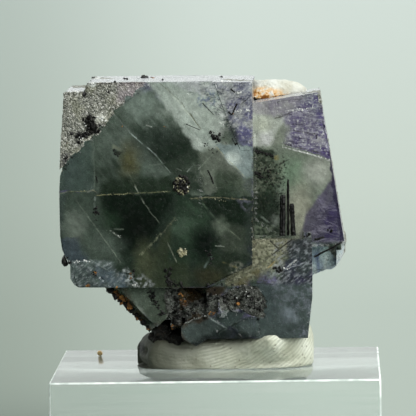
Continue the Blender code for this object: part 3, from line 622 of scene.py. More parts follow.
# Dark cavities and white crusts in the etched corner, the white ones partly painted highlights: kind, places, softness,
# tone and strength
CRUST_PATCHES = (
    ("spot", ((90, 123), (6, 8)), 0.5, (10, 10, 9), 1.0),
    ("line", ((77, 138), (98, 131)), 4.0, (14, 14, 12), 1.0),
    ("spot", ((79, 136), (4, 4)), 0.5, (12, 12, 10), 0.9),
    ("spot", ((84.5, 94), (2.4, 4)), 0.5, (14, 14, 12), 0.9),
    ("spot", ((101, 126), (3, 2)), 0.5, (16, 16, 14), 0.9),
    ("zone", ((60, 156), (74, 150), (64, 168), (58, 172)), 3, (70, 70, 72), 0.8),
    ("spot", ((100, 118), (7, 4)), 0.6, (206, 206, 196), 0.8),
    ("spot", ((84, 139), (6, 3)), 0.6, (200, 198, 188), 0.7),
    ("spot", ((92, 84), (4, 3)), 0.6, (226, 230, 226), 0.8),
)
# The main crystal's left face: heights in the picture and how far it stands out there, in millimetres
LEFT_LEAN = ((80, 0.0), (100, 0.2), (150, -0.1), (168, -0.12), (176, -0.5), (192, -0.62), (236, -0.55), (250, -0.3), (262, 0.0))


def inside(place, outline):
    """Whether a place lies in an outline."""
    found = False
    px, py = place
    for (ax, ay), (bx, by) in zip(outline, outline[1:] + outline[:1]):
        if (ay > py) != (by > py) and px < ax + (py - ay) * (bx - ax) / (by - ay):
            found = not found
    return found


# ---------------------------------------------------------------- materials
def new_material(name):
    made = bpy.data.materials.new(name)
    made.use_nodes = True
    tree = made.node_tree
    return made, tree, tree.nodes["Principled BSDF"]


def millimetres(tree):
    """The surface's own place, in millimetres."""
    place = tree.nodes.new("ShaderNodeTexCoord").outputs["Object"]
    return scaled(tree, place, 1000.0)


def bump(tree, shader, height, depth_mm, strength=1.0):
    made = tree.nodes.new("ShaderNodeBump")
    made.inputs["Strength"].default_value = strength
    made.inputs["Distance"].default_value = depth_mm * MM
    put(made.inputs["Height"], height)
    put(shader.inputs["Normal"], made.outputs[0])


def grain_masks(tree, point):
    """The shared grains that break up the drawn layers."""
    flat_point = stretched(tree, point, 8.0, 3.0)
    rising = stretched(tree, point, -38.0, 2.4)
    falling = stretched(tree, point, 48.0, 3.5)
    random_cell = use(tree, SPECKLE, {"Point": point, "Grains per mm": 4.2})
    return {
        "cloud": use(tree, CLOUD, {"Point": point, "Scale": 0.55, "Detail": 4.0, "Low": 0.38, "High": 0.6}),
        "patch": use(tree, CLOUD, {"Point": point, "Scale": 1.7, "Detail": 5.0, "Low": 0.42, "High": 0.6}),
        "faint": use(tree, CLOUD, {"Point": point, "Scale": 1.1, "Detail": 3.0, "Low": 0.3, "High": 0.55}),
        "dash": use(tree, CLOUD, {"Point": point, "Scale": 2.2, "Detail": 2.0, "Low": 0.36, "High": 0.52}),
        "glint": use(tree, CLOUD, {"Point": point, "Scale": 2.6, "Detail": 4.0, "Low": 0.56, "High": 0.66}),
        "rising": use(tree, CLOUD, {"Point": rising, "Scale": 2.8, "Detail": 6.0, "Low": 0.48, "High": 0.66}),
        "falling": use(tree, CLOUD, {"Point": falling, "Scale": 1.3, "Detail": 5.0, "Low": 0.42, "High": 0.62}),
        "wrinkle": use(tree, RIDGES, {"Point": flat_point, "Scale": 0.9, "Detail": 5.0, "Width": 0.07}),
        "crease": use(tree, RIDGES, {"Point": vector_sum(tree, "ADD", flat_point, (9.0, 5.0, 3.0)), "Scale": 0.8,
                                     "Detail": 4.0, "Width": 0.035}),
        "fleck": spread_out(tree, random_cell, 0.86, 0.9, smooth=True),
        "pit": spread_out(tree, random_cell, 0.24, 0.2, smooth=True),
    }


def make_fluorite():
    """Green crystal with purple edges, milky veils and dark hearts, clear enough to let light in."""
    made, tree, shader = new_material("fluorite crystal")
    point = millimetres(tree)
    wave = tree.nodes.new("ShaderNodeTexNoise")
    put(wave.inputs["Vector"], point)
    put(wave.inputs["Scale"], 0.7)
    put(wave.inputs["Detail"], 3.0)
    sway = scaled(tree, vector_sum(tree, "SUBTRACT", wave.outputs["Color"], (0.5, 0.5, 0.5)), 1.5)
    wavy = vector_sum(tree, "MULTIPLY", vector_sum(tree, "ADD", point, sway), (1.0, 0.0, 1.0))
    bent = vector_sum(tree, "MULTIPLY", vector_sum(tree, "ADD", point, scaled(tree, sway, 0.25)), (1.0, 0.0, 1.0))
    points = {"bent": bent, "wavy": wavy}
    grains = grain_masks(tree, point)
    split = tree.nodes.new("ShaderNodeSeparateXYZ")
    put(split.inputs[0], point)
    across, deep, high = split.outputs

    main_cube = {"Point": point, "Centre": (-8.45, -2.0, 40.8), "Share of half": (1 / 14.4, 1 / 11.2, 1 / 15.7)}
    edge = use(tree, CUBE, main_cube, output="Edge")
    face_cloud = use(tree, CLOUD, {"Point": point, "Scale": 0.16, "Detail": 5.0, "Low": 0.35, "High": 0.65})
    body = tone_steps(
        tree,
        face_cloud,
        ((0.0, (26, 36, 27)), (0.35, (48, 58, 50)), (0.6, (78, 88, 78)), (0.85, (104, 113, 102)), (1.0, (138, 145, 136))),
        FLUORITE_GAIN,
    )
    purple_share = sum_of(tree, "MULTIPLY", spread_out(tree, edge, 0.72, 0.98, smooth=True), grains["cloud"])
    body = blended(tree, purple_share, body, shade((88, 82, 112), FLUORITE_GAIN))
    frost = use(tree, CLOUD, {"Point": point, "Scale": 0.3, "Detail": 6.0, "Low": 0.56, "High": 0.66})
    body = blended(tree, sum_of(tree, "MULTIPLY", frost, 0.7), body, shade((142, 144, 140), FLUORITE_GAIN))
    pale_lump = use(tree, MASKS["spot"], {"Point": point, "Centre": (14.3, -1.5, 29.4), "Spread": (1 / 6.4, 1 / 7.0, 1 / 5.0),
                                 "Inner": 0.9, "Outer": 1.1})
    pale_streaks = vector_sum(tree, "MULTIPLY", point, (1.6, 1.0, 0.5))
    pale_tone = tone_steps(
        tree,
        use(tree, CLOUD, {"Point": pale_streaks, "Scale": 0.5, "Detail": 4.0, "Low": 0.3, "High": 0.68}),
        ((0.0, (84, 94, 124)), (0.3, (136, 146, 158)), (0.65, (182, 192, 194)), (1.0, (214, 222, 222))),
        FLUORITE_GAIN,
    )
    body = blended(tree, pale_lump, body, pale_tone)

    main = draw_layers(tree, body, MAIN_LAYERS, MAIN_FRONT, points, grains, FLUORITE_GAIN)
    right = draw_layers(tree, body, RIGHT_LAYERS, RIGHT_FRONT, points, grains, FLUORITE_GAIN)
    lower = draw_layers(tree, body, LOWER_LAYERS, LOWER_FRONT, points, grains, FLUORITE_GAIN)
    foot = draw_layers(tree, body, FOOT_LAYERS, FOOT_FRONT, points, grains, FLUORITE_GAIN)
    on_main = spread_out(tree, deep, -12.5, -10.4, 1.0, 0.0, smooth=True)
    sunk = sum_of(tree, "SUBTRACT", deep, spread_out(tree, high, 34.0, 37.0, -7.4, -2.0))
    on_right = sum_of(
        tree, "MULTIPLY",
        sum_of(tree, "MULTIPLY", spread_out(tree, sunk, 0.0, 2.0, 1.0, 0.0), spread_out(tree, across, 5.6, 5.8)),
        spread_out(tree, high, 31.0, 31.6),
    )
    on_lower = sum_of(
        tree, "MULTIPLY",
        sum_of(tree, "MULTIPLY", spread_out(tree, deep, -10.4, -9.0, 1.0, 0.0), spread_out(tree, deep, -12.7, -12.5)),
        sum_of(tree, "MULTIPLY", spread_out(tree, across, -2.0, -1.6), spread_out(tree, high, 33.0, 33.4, 1.0, 0.0)),
    )
    on_foot = sum_of(
        tree, "MULTIPLY", spread_out(tree, high, 25.0, 25.3, 1.0, 0.0), spread_out(tree, deep, -9.0, -6.0, 1.0, 0.0)
    )
    on_foot = sum_of(tree, "MULTIPLY", on_foot, spread_out(tree, across, 5.6, 6.4, 1.0, 0.0))
    colour = blended(tree, on_right, body, right)
    colour = blended(tree, on_main, colour, main)
    colour = blended(tree, on_lower, colour, lower)
    colour = blended(tree, on_foot, colour, foot)
    # Faces that look up, high on the main crystal, are painted near white: a painted reflection of the bright backdrop
    # on its top faces.
    upward = tree.nodes.new("ShaderNodeAttribute")
    upward.attribute_name = "upward"
    top_painted_reflection = spread_out(tree, upward.outputs["Fac"], 0.6, 0.8, smooth=True)
    top_painted_reflection = sum_of(tree, "MULTIPLY", top_painted_reflection, spread_out(tree, high, 50.0, 51.0, smooth=True))
    colour = blended(tree, top_painted_reflection, colour, tone_steps(tree, grains["patch"], ((0.0, (206, 206, 214)), (1.0, (236, 238, 242)))))
    fine = use(tree, CLOUD, {"Point": point, "Scale": 3.0, "Detail": 3.0, "Low": 0.2, "High": 0.8})
    streak = use(tree, CLOUD, {"Point": stretched(tree, point, 48.0, 5.0), "Scale": 1.6, "Detail": 4.0, "Low": 0.25, "High": 0.75})
    mottle = use(tree, CLOUD, {"Point": point, "Scale": 0.9, "Detail": 6.0, "Low": 0.25, "High": 0.75})
    fine_tone = spread_out(tree, fine, 0.0, 1.0, 0.84, 1.16)
    fine_tone = sum_of(tree, "MULTIPLY", fine_tone, spread_out(tree, streak, 0.0, 1.0, 0.84, 1.16))
    fine_tone = sum_of(tree, "MULTIPLY", fine_tone, spread_out(tree, mottle, 0.0, 1.0, 0.74, 1.26))
    grey = tree.nodes.new("ShaderNodeCombineXYZ")
    for i in range(3):
        put(grey.inputs[i], fine_tone)
    colour = vector_sum(tree, "MULTIPLY", colour, grey.outputs[0])
    put(shader.inputs["Base Color"], colour)
    shader.inputs["Transmission Weight"].default_value = CLEARNESS
    shader.inputs["IOR"].default_value = FLUORITE_IOR
    put(shader.inputs["Roughness"], spread_out(tree, grains["patch"], 0.0, 1.0, 0.12, 0.3))
    height = sum_of(tree, "ADD", sum_of(tree, "MULTIPLY", grains["patch"], 0.6), sum_of(tree, "MULTIPLY", fine, 0.4))
    bump(tree, shader, height, 0.05, 0.6)
    dimming = tree.nodes.new("ShaderNodeVolumeAbsorption")
    dimming.inputs["Color"].default_value = DEPTH_TINT
    dimming.inputs["Density"].default_value = DEPTH_DIMMING
    put(tree.nodes["Material Output"].inputs["Volume"], dimming.outputs[0])
    return made


def make_crust():
    """Etched crystal: a salt and pepper of bright and dark facets, the brightest grains partly painted glints, with a
    lilac tint at one end.
    """
    made, tree, shader = new_material("etched crust")
    point = millimetres(tree)
    random_cell = use(tree, SPECKLE, {"Point": point, "Grains per mm": 4.4})
    fine_cell = use(tree, SPECKLE, {"Point": point, "Grains per mm": 8.0})
    middle = use(tree, SPECKLE, {"Point": point, "Grains per mm": 4.4}, output="Middle")
    # The brightest steps of the two salt ramps are partly painted glints of the etched facets.
    salt = tone_steps(
        tree,
        random_cell,
        ((0.0, (16, 18, 16)), (0.14, (44, 48, 44)), (0.3, (94, 97, 88)), (0.62, (138, 139, 128)), (0.84, (186, 184, 174)), (1.0, (246, 244, 240))),
        CRUST_GAIN,
    )
    fine = tone_steps(
        tree, fine_cell, ((0.0, (28, 30, 27)), (0.45, (112, 112, 102)), (0.85, (168, 166, 156)), (1.0, (240, 238, 234))), CRUST_GAIN
    )
    colour = blended(tree, 0.45, salt, fine)
    flat = vector_sum(tree, "MULTIPLY", point, (1.0, 0.0, 1.0))
    lilac = layer_mask(tree, "zone", ((118, 82), (150, 78), (146, 92), (116, 104)), 4, MAIN_FRONT, flat)
    colour = blended(tree, sum_of(tree, "MULTIPLY", lilac, 0.5), colour, shade((164, 150, 160), CRUST_GAIN))
    sand = use(tree, CLOUD, {"Point": point, "Scale": 0.5, "Detail": 4.0, "Low": 0.5, "High": 0.65})
    colour = blended(tree, sum_of(tree, "MULTIPLY", sand, 0.25), colour, shade((150, 150, 120), CRUST_GAIN))
    dark = layer_mask(tree, "zone", ((150, 258), (280, 258), (280, 322), (150, 350)), 5, LOWER_FRONT, flat)
    colour = blended(tree, sum_of(tree, "MULTIPLY", dark, 0.88), colour, shade((23, 26, 23), CRUST_GAIN))
    # Painted glints: pale streaks over the dark foot crust.
    glint_streaks = use(tree, CLOUD, {"Point": stretched(tree, point, -34.0, 3.0), "Scale": 3.2, "Detail": 5.0, "Low": 0.56, "High": 0.66})
    painted_glints = sum_of(tree, "MULTIPLY", dark, glint_streaks)
    colour = blended(tree, sum_of(tree, "MULTIPLY", painted_glints, 0.6), colour, shade((128, 134, 126), CRUST_GAIN))
    broken = use(tree, CLOUD, {"Point": point, "Scale": 1.8, "Detail": 5.0, "Low": 0.36, "High": 0.5})
    shade_patch = use(tree, CLOUD, {"Point": point, "Scale": 0.45, "Detail": 4.0, "Low": 0.35, "High": 0.65})
    colour = blended(tree, sum_of(tree, "MULTIPLY", shade_patch, 0.3), colour, shade((84, 88, 84), CRUST_GAIN))
    for kind, places, soft, tones, strength in CRUST_PATCHES:
        patch = sum_of(tree, "MULTIPLY", layer_mask(tree, kind, places, soft, MAIN_FRONT, flat), broken)
        colour = blended(tree, sum_of(tree, "MULTIPLY", patch, strength), colour, shade(tones, CRUST_GAIN))
    put(shader.inputs["Base Color"], colour)
    put(shader.inputs["Roughness"], spread_out(tree, random_cell, 0.0, 1.0, 0.6, 0.25))
    shader.inputs["IOR"].default_value = FLUORITE_IOR
    bump(tree, shader, middle, 0.12, 0.8)
    return made


def make_tourmaline():
    """Black tourmaline with lengthwise ribs and a little dust in them."""
    made, tree, shader = new_material("black tourmaline")
    point = millimetres(tree)
    ribs = vector_sum(tree, "MULTIPLY", point, (1.0, 1.0, 0.12))
    rib = use(tree, CLOUD, {"Point": ribs, "Scale": 4.5, "Detail": 3.0, "Low": 0.3, "High": 0.7})
    dust = use(tree, CLOUD, {"Point": point, "Scale": 1.6, "Detail": 5.0, "Low": 0.52, "High": 0.7})
    colour = tone_steps(tree, rib, ((0.0, (3, 3, 3)), (0.6, (9, 9, 8)), (1.0, (30, 30, 26))))
    put(shader.inputs["Base Color"], blended(tree, sum_of(tree, "MULTIPLY", dust, 0.25), colour, shade((60, 58, 46))))
    put(shader.inputs["Roughness"], spread_out(tree, rib, 0.0, 1.0, 0.26, 0.55))
    shader.inputs["Specular IOR Level"].default_value = 0.3
    bump(tree, shader, rib, 0.08, 0.7)
    return made


def make_feldspar():
    """Cream feldspar, sugary where it broke, with rust-brown stains."""
    made, tree, shader = new_material("cream feldspar")
    point = millimetres(tree)
    cloud = use(tree, CLOUD, {"Point": point, "Scale": 0.4, "Detail": 6.0, "Low": 0.3, "High": 0.7})
    colour = tone_steps(
        tree, cloud, ((0.0, (170, 167, 150)), (0.4, (194, 194, 182)), (0.75, (206, 207, 198)), (1.0, (216, 217, 212)))
    )
    blot = use(tree, CLOUD, {"Point": point, "Scale": 0.33, "Detail": 5.0, "Low": 0.56, "High": 0.72})
    colour = blended(tree, sum_of(tree, "MULTIPLY", blot, 0.3), colour, shade((180, 156, 110)))
    stain_place = seen(262, 97, -1.0)
    stain = use(tree, MASKS["spot"], {"Point": point, "Centre": stain_place, "Spread": (1 / 3.4, 1 / 7.0, 1 / 1.35),
                             "Inner": 0.6, "Outer": 1.5})
    rough = use(tree, CLOUD, {"Point": point, "Scale": 1.3, "Detail": 4.0, "Low": 0.35, "High": 0.6})
    stain = sum_of(tree, "MULTIPLY", stain, rough)
    colour = blended(tree, stain, colour, shade((206, 146, 24)))
    deep_stain = spread_out(tree, stain, 0.75, 1.0)
    colour = blended(tree, deep_stain, colour, shade((132, 78, 6)))
    put(shader.inputs["Base Color"], colour)
    put(shader.inputs["Roughness"], spread_out(tree, cloud, 0.0, 1.0, 0.65, 0.4))
    grain = use(tree, SPECKLE, {"Point": point, "Grains per mm": 2.6}, output="Middle")
    bump(tree, shader, sum_of(tree, "ADD", grain, cloud), 0.12, 0.5)
    return made


def make_tack():
    """Warm grey putty, pressed with fine curved ridges and a few specks of dust; painted shade darkens its left end and
    its pressed hollow.
    """
    made, tree, shader = new_material("grey mineral tack")
    point = millimetres(tree)
    cloud = use(tree, CLOUD, {"Point": point, "Scale": 0.25, "Detail": 4.0, "Low": 0.3, "High": 0.7})
    waves = tree.nodes.new("ShaderNodeTexWave")
    waves.wave_type = "RINGS"
    waves.rings_direction = "SPHERICAL"
    put(waves.inputs["Vector"], vector_sum(tree, "SUBTRACT", point, seen(181, 239, -9.0)))
    for title, value in (("Scale", 0.62), ("Distortion", 4.0), ("Detail", 3.0), ("Detail Scale", 0.6)):
        waves.inputs[title].default_value = value
    where = use(tree, CLOUD, {"Point": point, "Scale": 0.22, "Detail": 3.0, "Low": 0.36, "High": 0.6})
    ridge = sum_of(tree, "MULTIPLY", waves.outputs["Fac"], spread_out(tree, where, 0.0, 1.0, 0.05, 0.85))
    sideways = tree.nodes.new("ShaderNodeSeparateXYZ")
    put(sideways.inputs[0], point)
    ridge = sum_of(tree, "MULTIPLY", ridge, spread_out(tree, sideways.outputs[0], -7.0, 1.0, 0.2, 1.0, smooth=True))
    colour = tone_steps(tree, cloud, ((0.0, (182, 184, 164)), (0.5, (208, 211, 192)), (1.0, (222, 225, 210))))
    colour = blended(tree, sum_of(tree, "MULTIPLY", spread_out(tree, ridge, 0.4, 0.0), 0.3), colour, shade((128, 128, 110)))
    split = tree.nodes.new("ShaderNodeSeparateXYZ")
    put(split.inputs[0], point)
    # Painted shade: the putty darkens towards its left end, under the crystals.
    left_painted_shade = spread_out(tree, split.outputs[0], -12.5, 4.0, 1.0, 0.0, smooth=True)
    colour = blended(tree, left_painted_shade, colour, shade((74, 76, 62)))
    # Painted shade in the pressed hollow at the left end: a near-black spot.
    hollow_painted_shade = use(tree, MASKS["spot"], {"Point": point, "Centre": seen(141, 349, -5.0), "Spread": (1 / 0.85, 1 / 7.0, 1 / 1.05),
                             "Inner": 0.5, "Outer": 1.1})
    colour = blended(tree, sum_of(tree, "MULTIPLY", hollow_painted_shade, 0.95), colour, shade((18, 19, 15)))
    speck = use(tree, SPECKLE, {"Point": point, "Grains per mm": 3.2})
    colour = blended(tree, spread_out(tree, speck, 0.975, 0.985, 0.0, 0.6), colour, shade((110, 106, 88)))
    put(shader.inputs["Base Color"], colour)
    put(shader.inputs["Roughness"], spread_out(tree, ridge, 0.0, 1.0, 0.62, 0.46))
    pressed = use(tree, CLOUD, {"Point": point, "Scale": 1.6, "Detail": 5.0, "Low": 0.2, "High": 0.8})
    bump(tree, shader, sum_of(tree, "ADD", ridge, sum_of(tree, "MULTIPLY", pressed, 1.2)), 0.11, 0.7)
    return made


def make_acrylic():
    """Clear acrylic with polished faces, faint saw lines and fine dust. It lets lamp light through."""
    made, tree, shader = new_material("clear acrylic")
    point = millimetres(tree)
    lines = vector_sum(tree, "MULTIPLY", point, (0.02, 0.02, 1.0))
    band = use(tree, CLOUD, {"Point": lines, "Scale": 2.4, "Detail": 3.0, "Low": 0.3, "High": 0.7})
    dust = use(tree, SPECKLE, {"Point": point, "Grains per mm": 1.1})
    base = tone_steps(tree, band, ((0.0, (232, 242, 237)), (1.0, (250, 253, 251))))
    put(shader.inputs["Base Color"], base)
    haze = sum_of(tree, "ADD", spread_out(tree, dust, 0.9, 1.0, 0.02, 0.12), spread_out(tree, band, 0.0, 1.0, 0.0, 0.04))
    height = tree.nodes.new("ShaderNodeSeparateXYZ")
    put(height.inputs[0], point)
    haze = sum_of(tree, "ADD", haze, spread_out(tree, height.outputs[2], 11.9, 11.98, 0.0, 0.06, smooth=True))
    put(shader.inputs["Roughness"], haze)
    shader.inputs["IOR"].default_value = 1.49
    shader.inputs["Transmission Weight"].default_value = 0.85
    bump(tree, shader, band, 0.02, 0.25)
    path = tree.nodes.new("ShaderNodeLightPath")
    through = tree.nodes.new("ShaderNodeBsdfTransparent")
    through.inputs[0].default_value = (0.9, 0.94, 0.92, 1.0)
    mix = tree.nodes.new("ShaderNodeMixShader")
    put(mix.inputs[0], path.outputs["Is Shadow Ray"])
    put(mix.inputs[1], shader.outputs[0])
    put(mix.inputs[2], through.outputs[0])
    put(tree.nodes["Material Output"].inputs["Surface"], mix.outputs[0])
    return made


def make_block_edge():
    """The finely scraped edge of the acrylic: rougher than its faces, and painted whiter as a sheen of light, more in
    some stretches than in others.
    """
    made, tree, shader = new_material("acrylic edge with painted sheen")
    point = millimetres(tree)
    scrape_and_sheen = use(tree, CLOUD, {"Point": point, "Scale": 0.5, "Detail": 4.0, "Low": 0.35, "High": 0.62})
    # Painted sheen: the edge is painted near white.
    colour = tone_steps(tree, scrape_and_sheen, ((0.0, (196, 206, 201)), (0.5, (222, 230, 226)), (1.0, (252, 254, 253))))
    put(shader.inputs["Base Color"], colour)
    put(shader.inputs["Roughness"], spread_out(tree, scrape_and_sheen, 0.0, 1.0, 0.2, 0.45))
    shader.inputs["IOR"].default_value = 1.49
    bump(tree, shader, scrape_and_sheen, 0.03, 0.4)
    return made


def make_grains(name, steps, roughness):
    """Small loose grains, each in its own tone."""
    made, tree, shader = new_material(name)
    point = millimetres(tree)
    random_cell = use(tree, SPECKLE, {"Point": point, "Grains per mm": 3.0})
    fine = use(tree, CLOUD, {"Point": point, "Scale": 6.0, "Detail": 2.0, "Low": 0.3, "High": 0.7})
    colour = tone_steps(tree, random_cell, steps)
    put(shader.inputs["Base Color"], blended(tree, sum_of(tree, "MULTIPLY", fine, 0.3), colour, shade(steps[-1][1])))
    put(shader.inputs["Roughness"], spread_out(tree, fine, 0.0, 1.0, roughness - 0.12, roughness + 0.12))
    bump(tree, shader, fine, 0.04, 0.6)
    return made


def make_floor():
    """A pale sweep, lighter far away and to the right: painted shade near and to the left, a painted pool of light far
    off to the right.
    """
    made, tree, shader = new_material("pale floor")
    point = millimetres(tree)
    split = tree.nodes.new("ShaderNodeSeparateXYZ")
    put(split.inputs[0], point)
    across, deep, _ = split.outputs
    reach = sum_of(tree, "MAXIMUM", sum_of(tree, "SUBTRACT", deep, EYE.y), 700.0)
    near = spread_out(tree, sum_of(tree, "DIVIDE", EYE.z, reach), 0.03, 0.111)
    sideways = sum_of(tree, "DIVIDE", sum_of(tree, "SUBTRACT", across, EYE.x), reach)
    left = tone_steps(tree, near, FLOOR_LEFT, FLOOR_GAIN)
    right = tone_steps(tree, near, FLOOR_RIGHT, FLOOR_GAIN)
    colour = blended(tree, spread_out(tree, sideways, -0.075, -0.015, smooth=True), left, right)
    put(shader.inputs["Base Color"], colour)
    grain = use(tree, CLOUD, {"Point": point, "Scale": 0.02, "Detail": 3.0, "Low": 0.0, "High": 1.0})
    put(shader.inputs["Roughness"], spread_out(tree, grain, 0.0, 1.0, 0.75, 0.9))
    shader.inputs["Specular IOR Level"].default_value = 0.0
    return made


# ---------------------------------------------------------------- shapes
def shape_of(node):
    """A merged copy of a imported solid, in millimetres."""
    shape = bmesh.new()
    shape.from_mesh(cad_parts[node].data)
    bmesh.ops.scale(shape, vec=(1 / MM, 1 / MM, 1 / MM), verts=shape.verts)
    bmesh.ops.remove_doubles(shape, verts=shape.verts, dist=1e-3)
    return shape


def add_piece(name, shape, materials, replaced=(), smooth=False):
    """Turns a shape in millimetres into a piece of the object."""
    bmesh.ops.scale(shape, vec=(MM, MM, MM), verts=shape.verts)
    mesh = bpy.data.meshes.new(name)
    shape.to_mesh(mesh)
    shape.free()
    for material in materials:
        mesh.materials.append(material)
    piece = bpy.data.objects.new(name, mesh)
    bpy.context.scene.collection.objects.link(piece)
    if smooth:
        mesh.shade_smooth()
    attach(piece, "root")
    if replaced:
        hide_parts(*replaced)
    return piece


def refine(shape, longest):
    """Splits edges until none is longer than the length wanted at its middle."""
    for _ in range(10):
        long_edges = []
        for edge in shape.edges:
            a, b = (vert.co for vert in edge.verts)
            if (a - b).length > longest((a + b) / 2):
                long_edges.append(edge)
        if not long_edges:
            break
        bmesh.ops.subdivide_edges(shape, edges=long_edges, cuts=1)
        bmesh.ops.triangulate(shape, faces=[face for face in shape.faces if len(face.verts) > 3])


def swirl(point, size):
    return noise.noise(point / size)


def crust_depth(point):
    """How deep the etched pits are at a place, in millimetres."""
    place = pictured(point)
    shift = 2.2 * swirl(point, 0.9)
    place = (place[0] + shift, place[1] + shift)
    if point.y < -12.2:
        if inside(place, ETCHED_CORNER):
            return 0.11
        return 0.0
    if -12.4 < point.y < -6.0 and (inside(place, GRANULAR_BAND) or inside(place, BLACK_GRAINS)):
        return 0.3
    if point.y > -10.0 and swirl(point + Vector((7, 3, 9)), 9.0) > 0.36:
        return 0.12
    return 0.0


def left_edge(point):
    """How far the main crystal's left face leans out, in millimetres: more near its middle than at its ends."""
    height = pictured(point)[1]
    for (top, out), (bottom, out_next) in zip(LEFT_LEAN, LEFT_LEAN[1:]):
        if top <= height < bottom:
            return out + (out_next - out) * (height - top) / (bottom - top)
    return 0.0


def worn_spacing(point):
    place = pictured(point)
    if point.y < -12.2 and place[0] < 156 and place[1] < 176 and inside(place, ETCHED_CORNER):
        return 0.26
    if point.y < -6 and 160 < place[0] < 270 and 262 < place[1] < 330:
        return 0.34
    return 0.62


def dress_fluorite(glass, crust):
    """The crystals with chipped edges, etched crust and rippled growth."""
    shape = shape_of("fluorite_crystals")
    bmesh.ops.dissolve_limit(shape, angle_limit=math.radians(0.4), verts=shape.verts, edges=shape.edges)
    bmesh.ops.triangulate(shape, faces=shape.faces)
    refine(shape, worn_spacing)
    shape.normal_update()
    sharp = {}
    for edge in shape.edges:
        if len(edge.link_faces) == 2 and abs(edge.calc_face_angle_signed(0.0)) > math.radians(24):
            for vert in edge.verts:
                sharp[vert] = max(sharp.get(vert, 0.0), edge.calc_face_angle_signed(0.0))
    chance = random.Random(7)
    moves = {}
    for vert in shape.verts:
        point = vert.co
        depth = crust_depth(point)
        move = Vector()
        if depth:
            rough = swirl(point, 0.45) + 0.8 * swirl(point, 0.2) + chance.uniform(-0.5, 0.5)
            if depth > 0.2:
                rough = 1.2 * swirl(point, 1.3) + 0.7 * swirl(point, 0.5) + chance.uniform(-0.25, 0.25)
            move += vert.normal * depth * rough
        else:
            move += vert.normal * 0.02 * swirl(point, 2.0)
        if point.y < -13.25 and point.x > -2:
            move += Vector((0.0, -13.21 - point.y, 0.0))
        if -8.65 < point.y < -8.12 and point.x > 6.2 and point.z > 31:
            move += Vector((0.0, -8.03 - point.y, 0.0))
        px, py = pictured(point)
        if point.y > -8.7 and 86 < py < 232 and 300 < px:
            over = px - (319.9 + 0.166 * (py - 90))
            if over > 0:
                move += Vector((-0.154 * over, 0.0, 0.0))
        if point.z > 56.53:
            move += Vector((0.0, 0.0, 56.52 - point.z))
        if point.x < -19.5 and -14.0 < point.y < 9.5 and 25.0 < point.z < 56.0:
            move += Vector((left_edge(point) * min(1.0, (-19.5 - point.x) / 3.0), 0.0, 0.0))
        if sharp.get(vert, 0.0) > 0:
            chip = max(0.0, swirl(point, 1.1) + 0.6 * swirl(point, 0.4) - 0.12)
            move -= vert.normal * min(0.35, 0.7 * chip)
        moves[vert] = move
    for vert, move in moves.items():
        vert.co += move
    shape.normal_update()
    # How far each face looks up; the crystal material paints a reflection on the top faces from it.
    upward = shape.faces.layers.float.new("upward")
    for face in shape.faces:
        face.material_index = 1 if crust_depth(face.calc_center_median()) else 0
        face[upward] = face.normal.z
    skin = BVHTree.FromBMesh(shape)
    return skin, add_piece("fluorite_group", shape, (glass, crust), ("fluorite_crystals",))


def on_skin(skin, px, py):
    """Where the ray through a place in the picture meets the crystals, and which way the surface faces."""
    ray = (seen(px, py, 0.0) - EYE).normalized()
    point, normal, _, _ = skin.ray_cast(EYE, ray)
    return point, normal


def add_grain(shape, centre, sizes, turn):
    place = Matrix.Translation(centre) @ turn.to_matrix().to_4x4() @ Matrix.Diagonal((*sizes, 1.0))
    bmesh.ops.create_icosphere(shape, subdivisions=1, radius=1.0, matrix=place)


def random_turn(chance):
    axis = Vector(chance.gauss(0, 1) for _ in range(3)).normalized()
    return Matrix.Rotation(chance.uniform(0, math.tau), 3, axis).to_quaternion()


def strew(shape, skin, path, count, sizes, spread, seed):
    """Grains half sunk in the surface along a path in the picture."""
    chance = random.Random(seed)
    lengths = [math.dist(a, b) for a, b in zip(path, path[1:])] or [1.0]
    for _ in range(count):
        if len(path) > 1:
            i = chance.choices(range(len(lengths)), lengths)[0]
            share = chance.random()
            px, py = (a + (b - a) * share for a, b in zip(path[i], path[i + 1]))
        else:
            px, py = path[0]
        px += chance.gauss(0, spread[0])
        py += chance.gauss(0, spread[1])
        point, normal = on_skin(skin, px, py)
        if point is None:
            continue
        size = chance.uniform(*sizes)
        stretch = [size * chance.uniform(0.35, 1.5) for _ in range(3)]
        add_grain(shape, point - 0.1 * size * normal, stretch, random_turn(chance))


def add_needle(shape, skin, start, end, width, sink=0.2, sides=6):
    """A needle lying in the surface between two places in the picture."""
    ends = [on_skin(skin, *place) for place in (start, end)]
    if any(point is None for point, _ in ends):
        return
    a, b = (point - normal * sink * width for point, normal in ends)
    aim = (b - a).to_track_quat("Z", "Y").to_matrix().to_4x4()
    place = Matrix.Translation((a + b) / 2) @ aim
    bmesh.ops.create_cone(
        shape, cap_ends=True, segments=sides, radius1=width, radius2=0.7 * width, depth=(b - a).length, matrix=place
    )


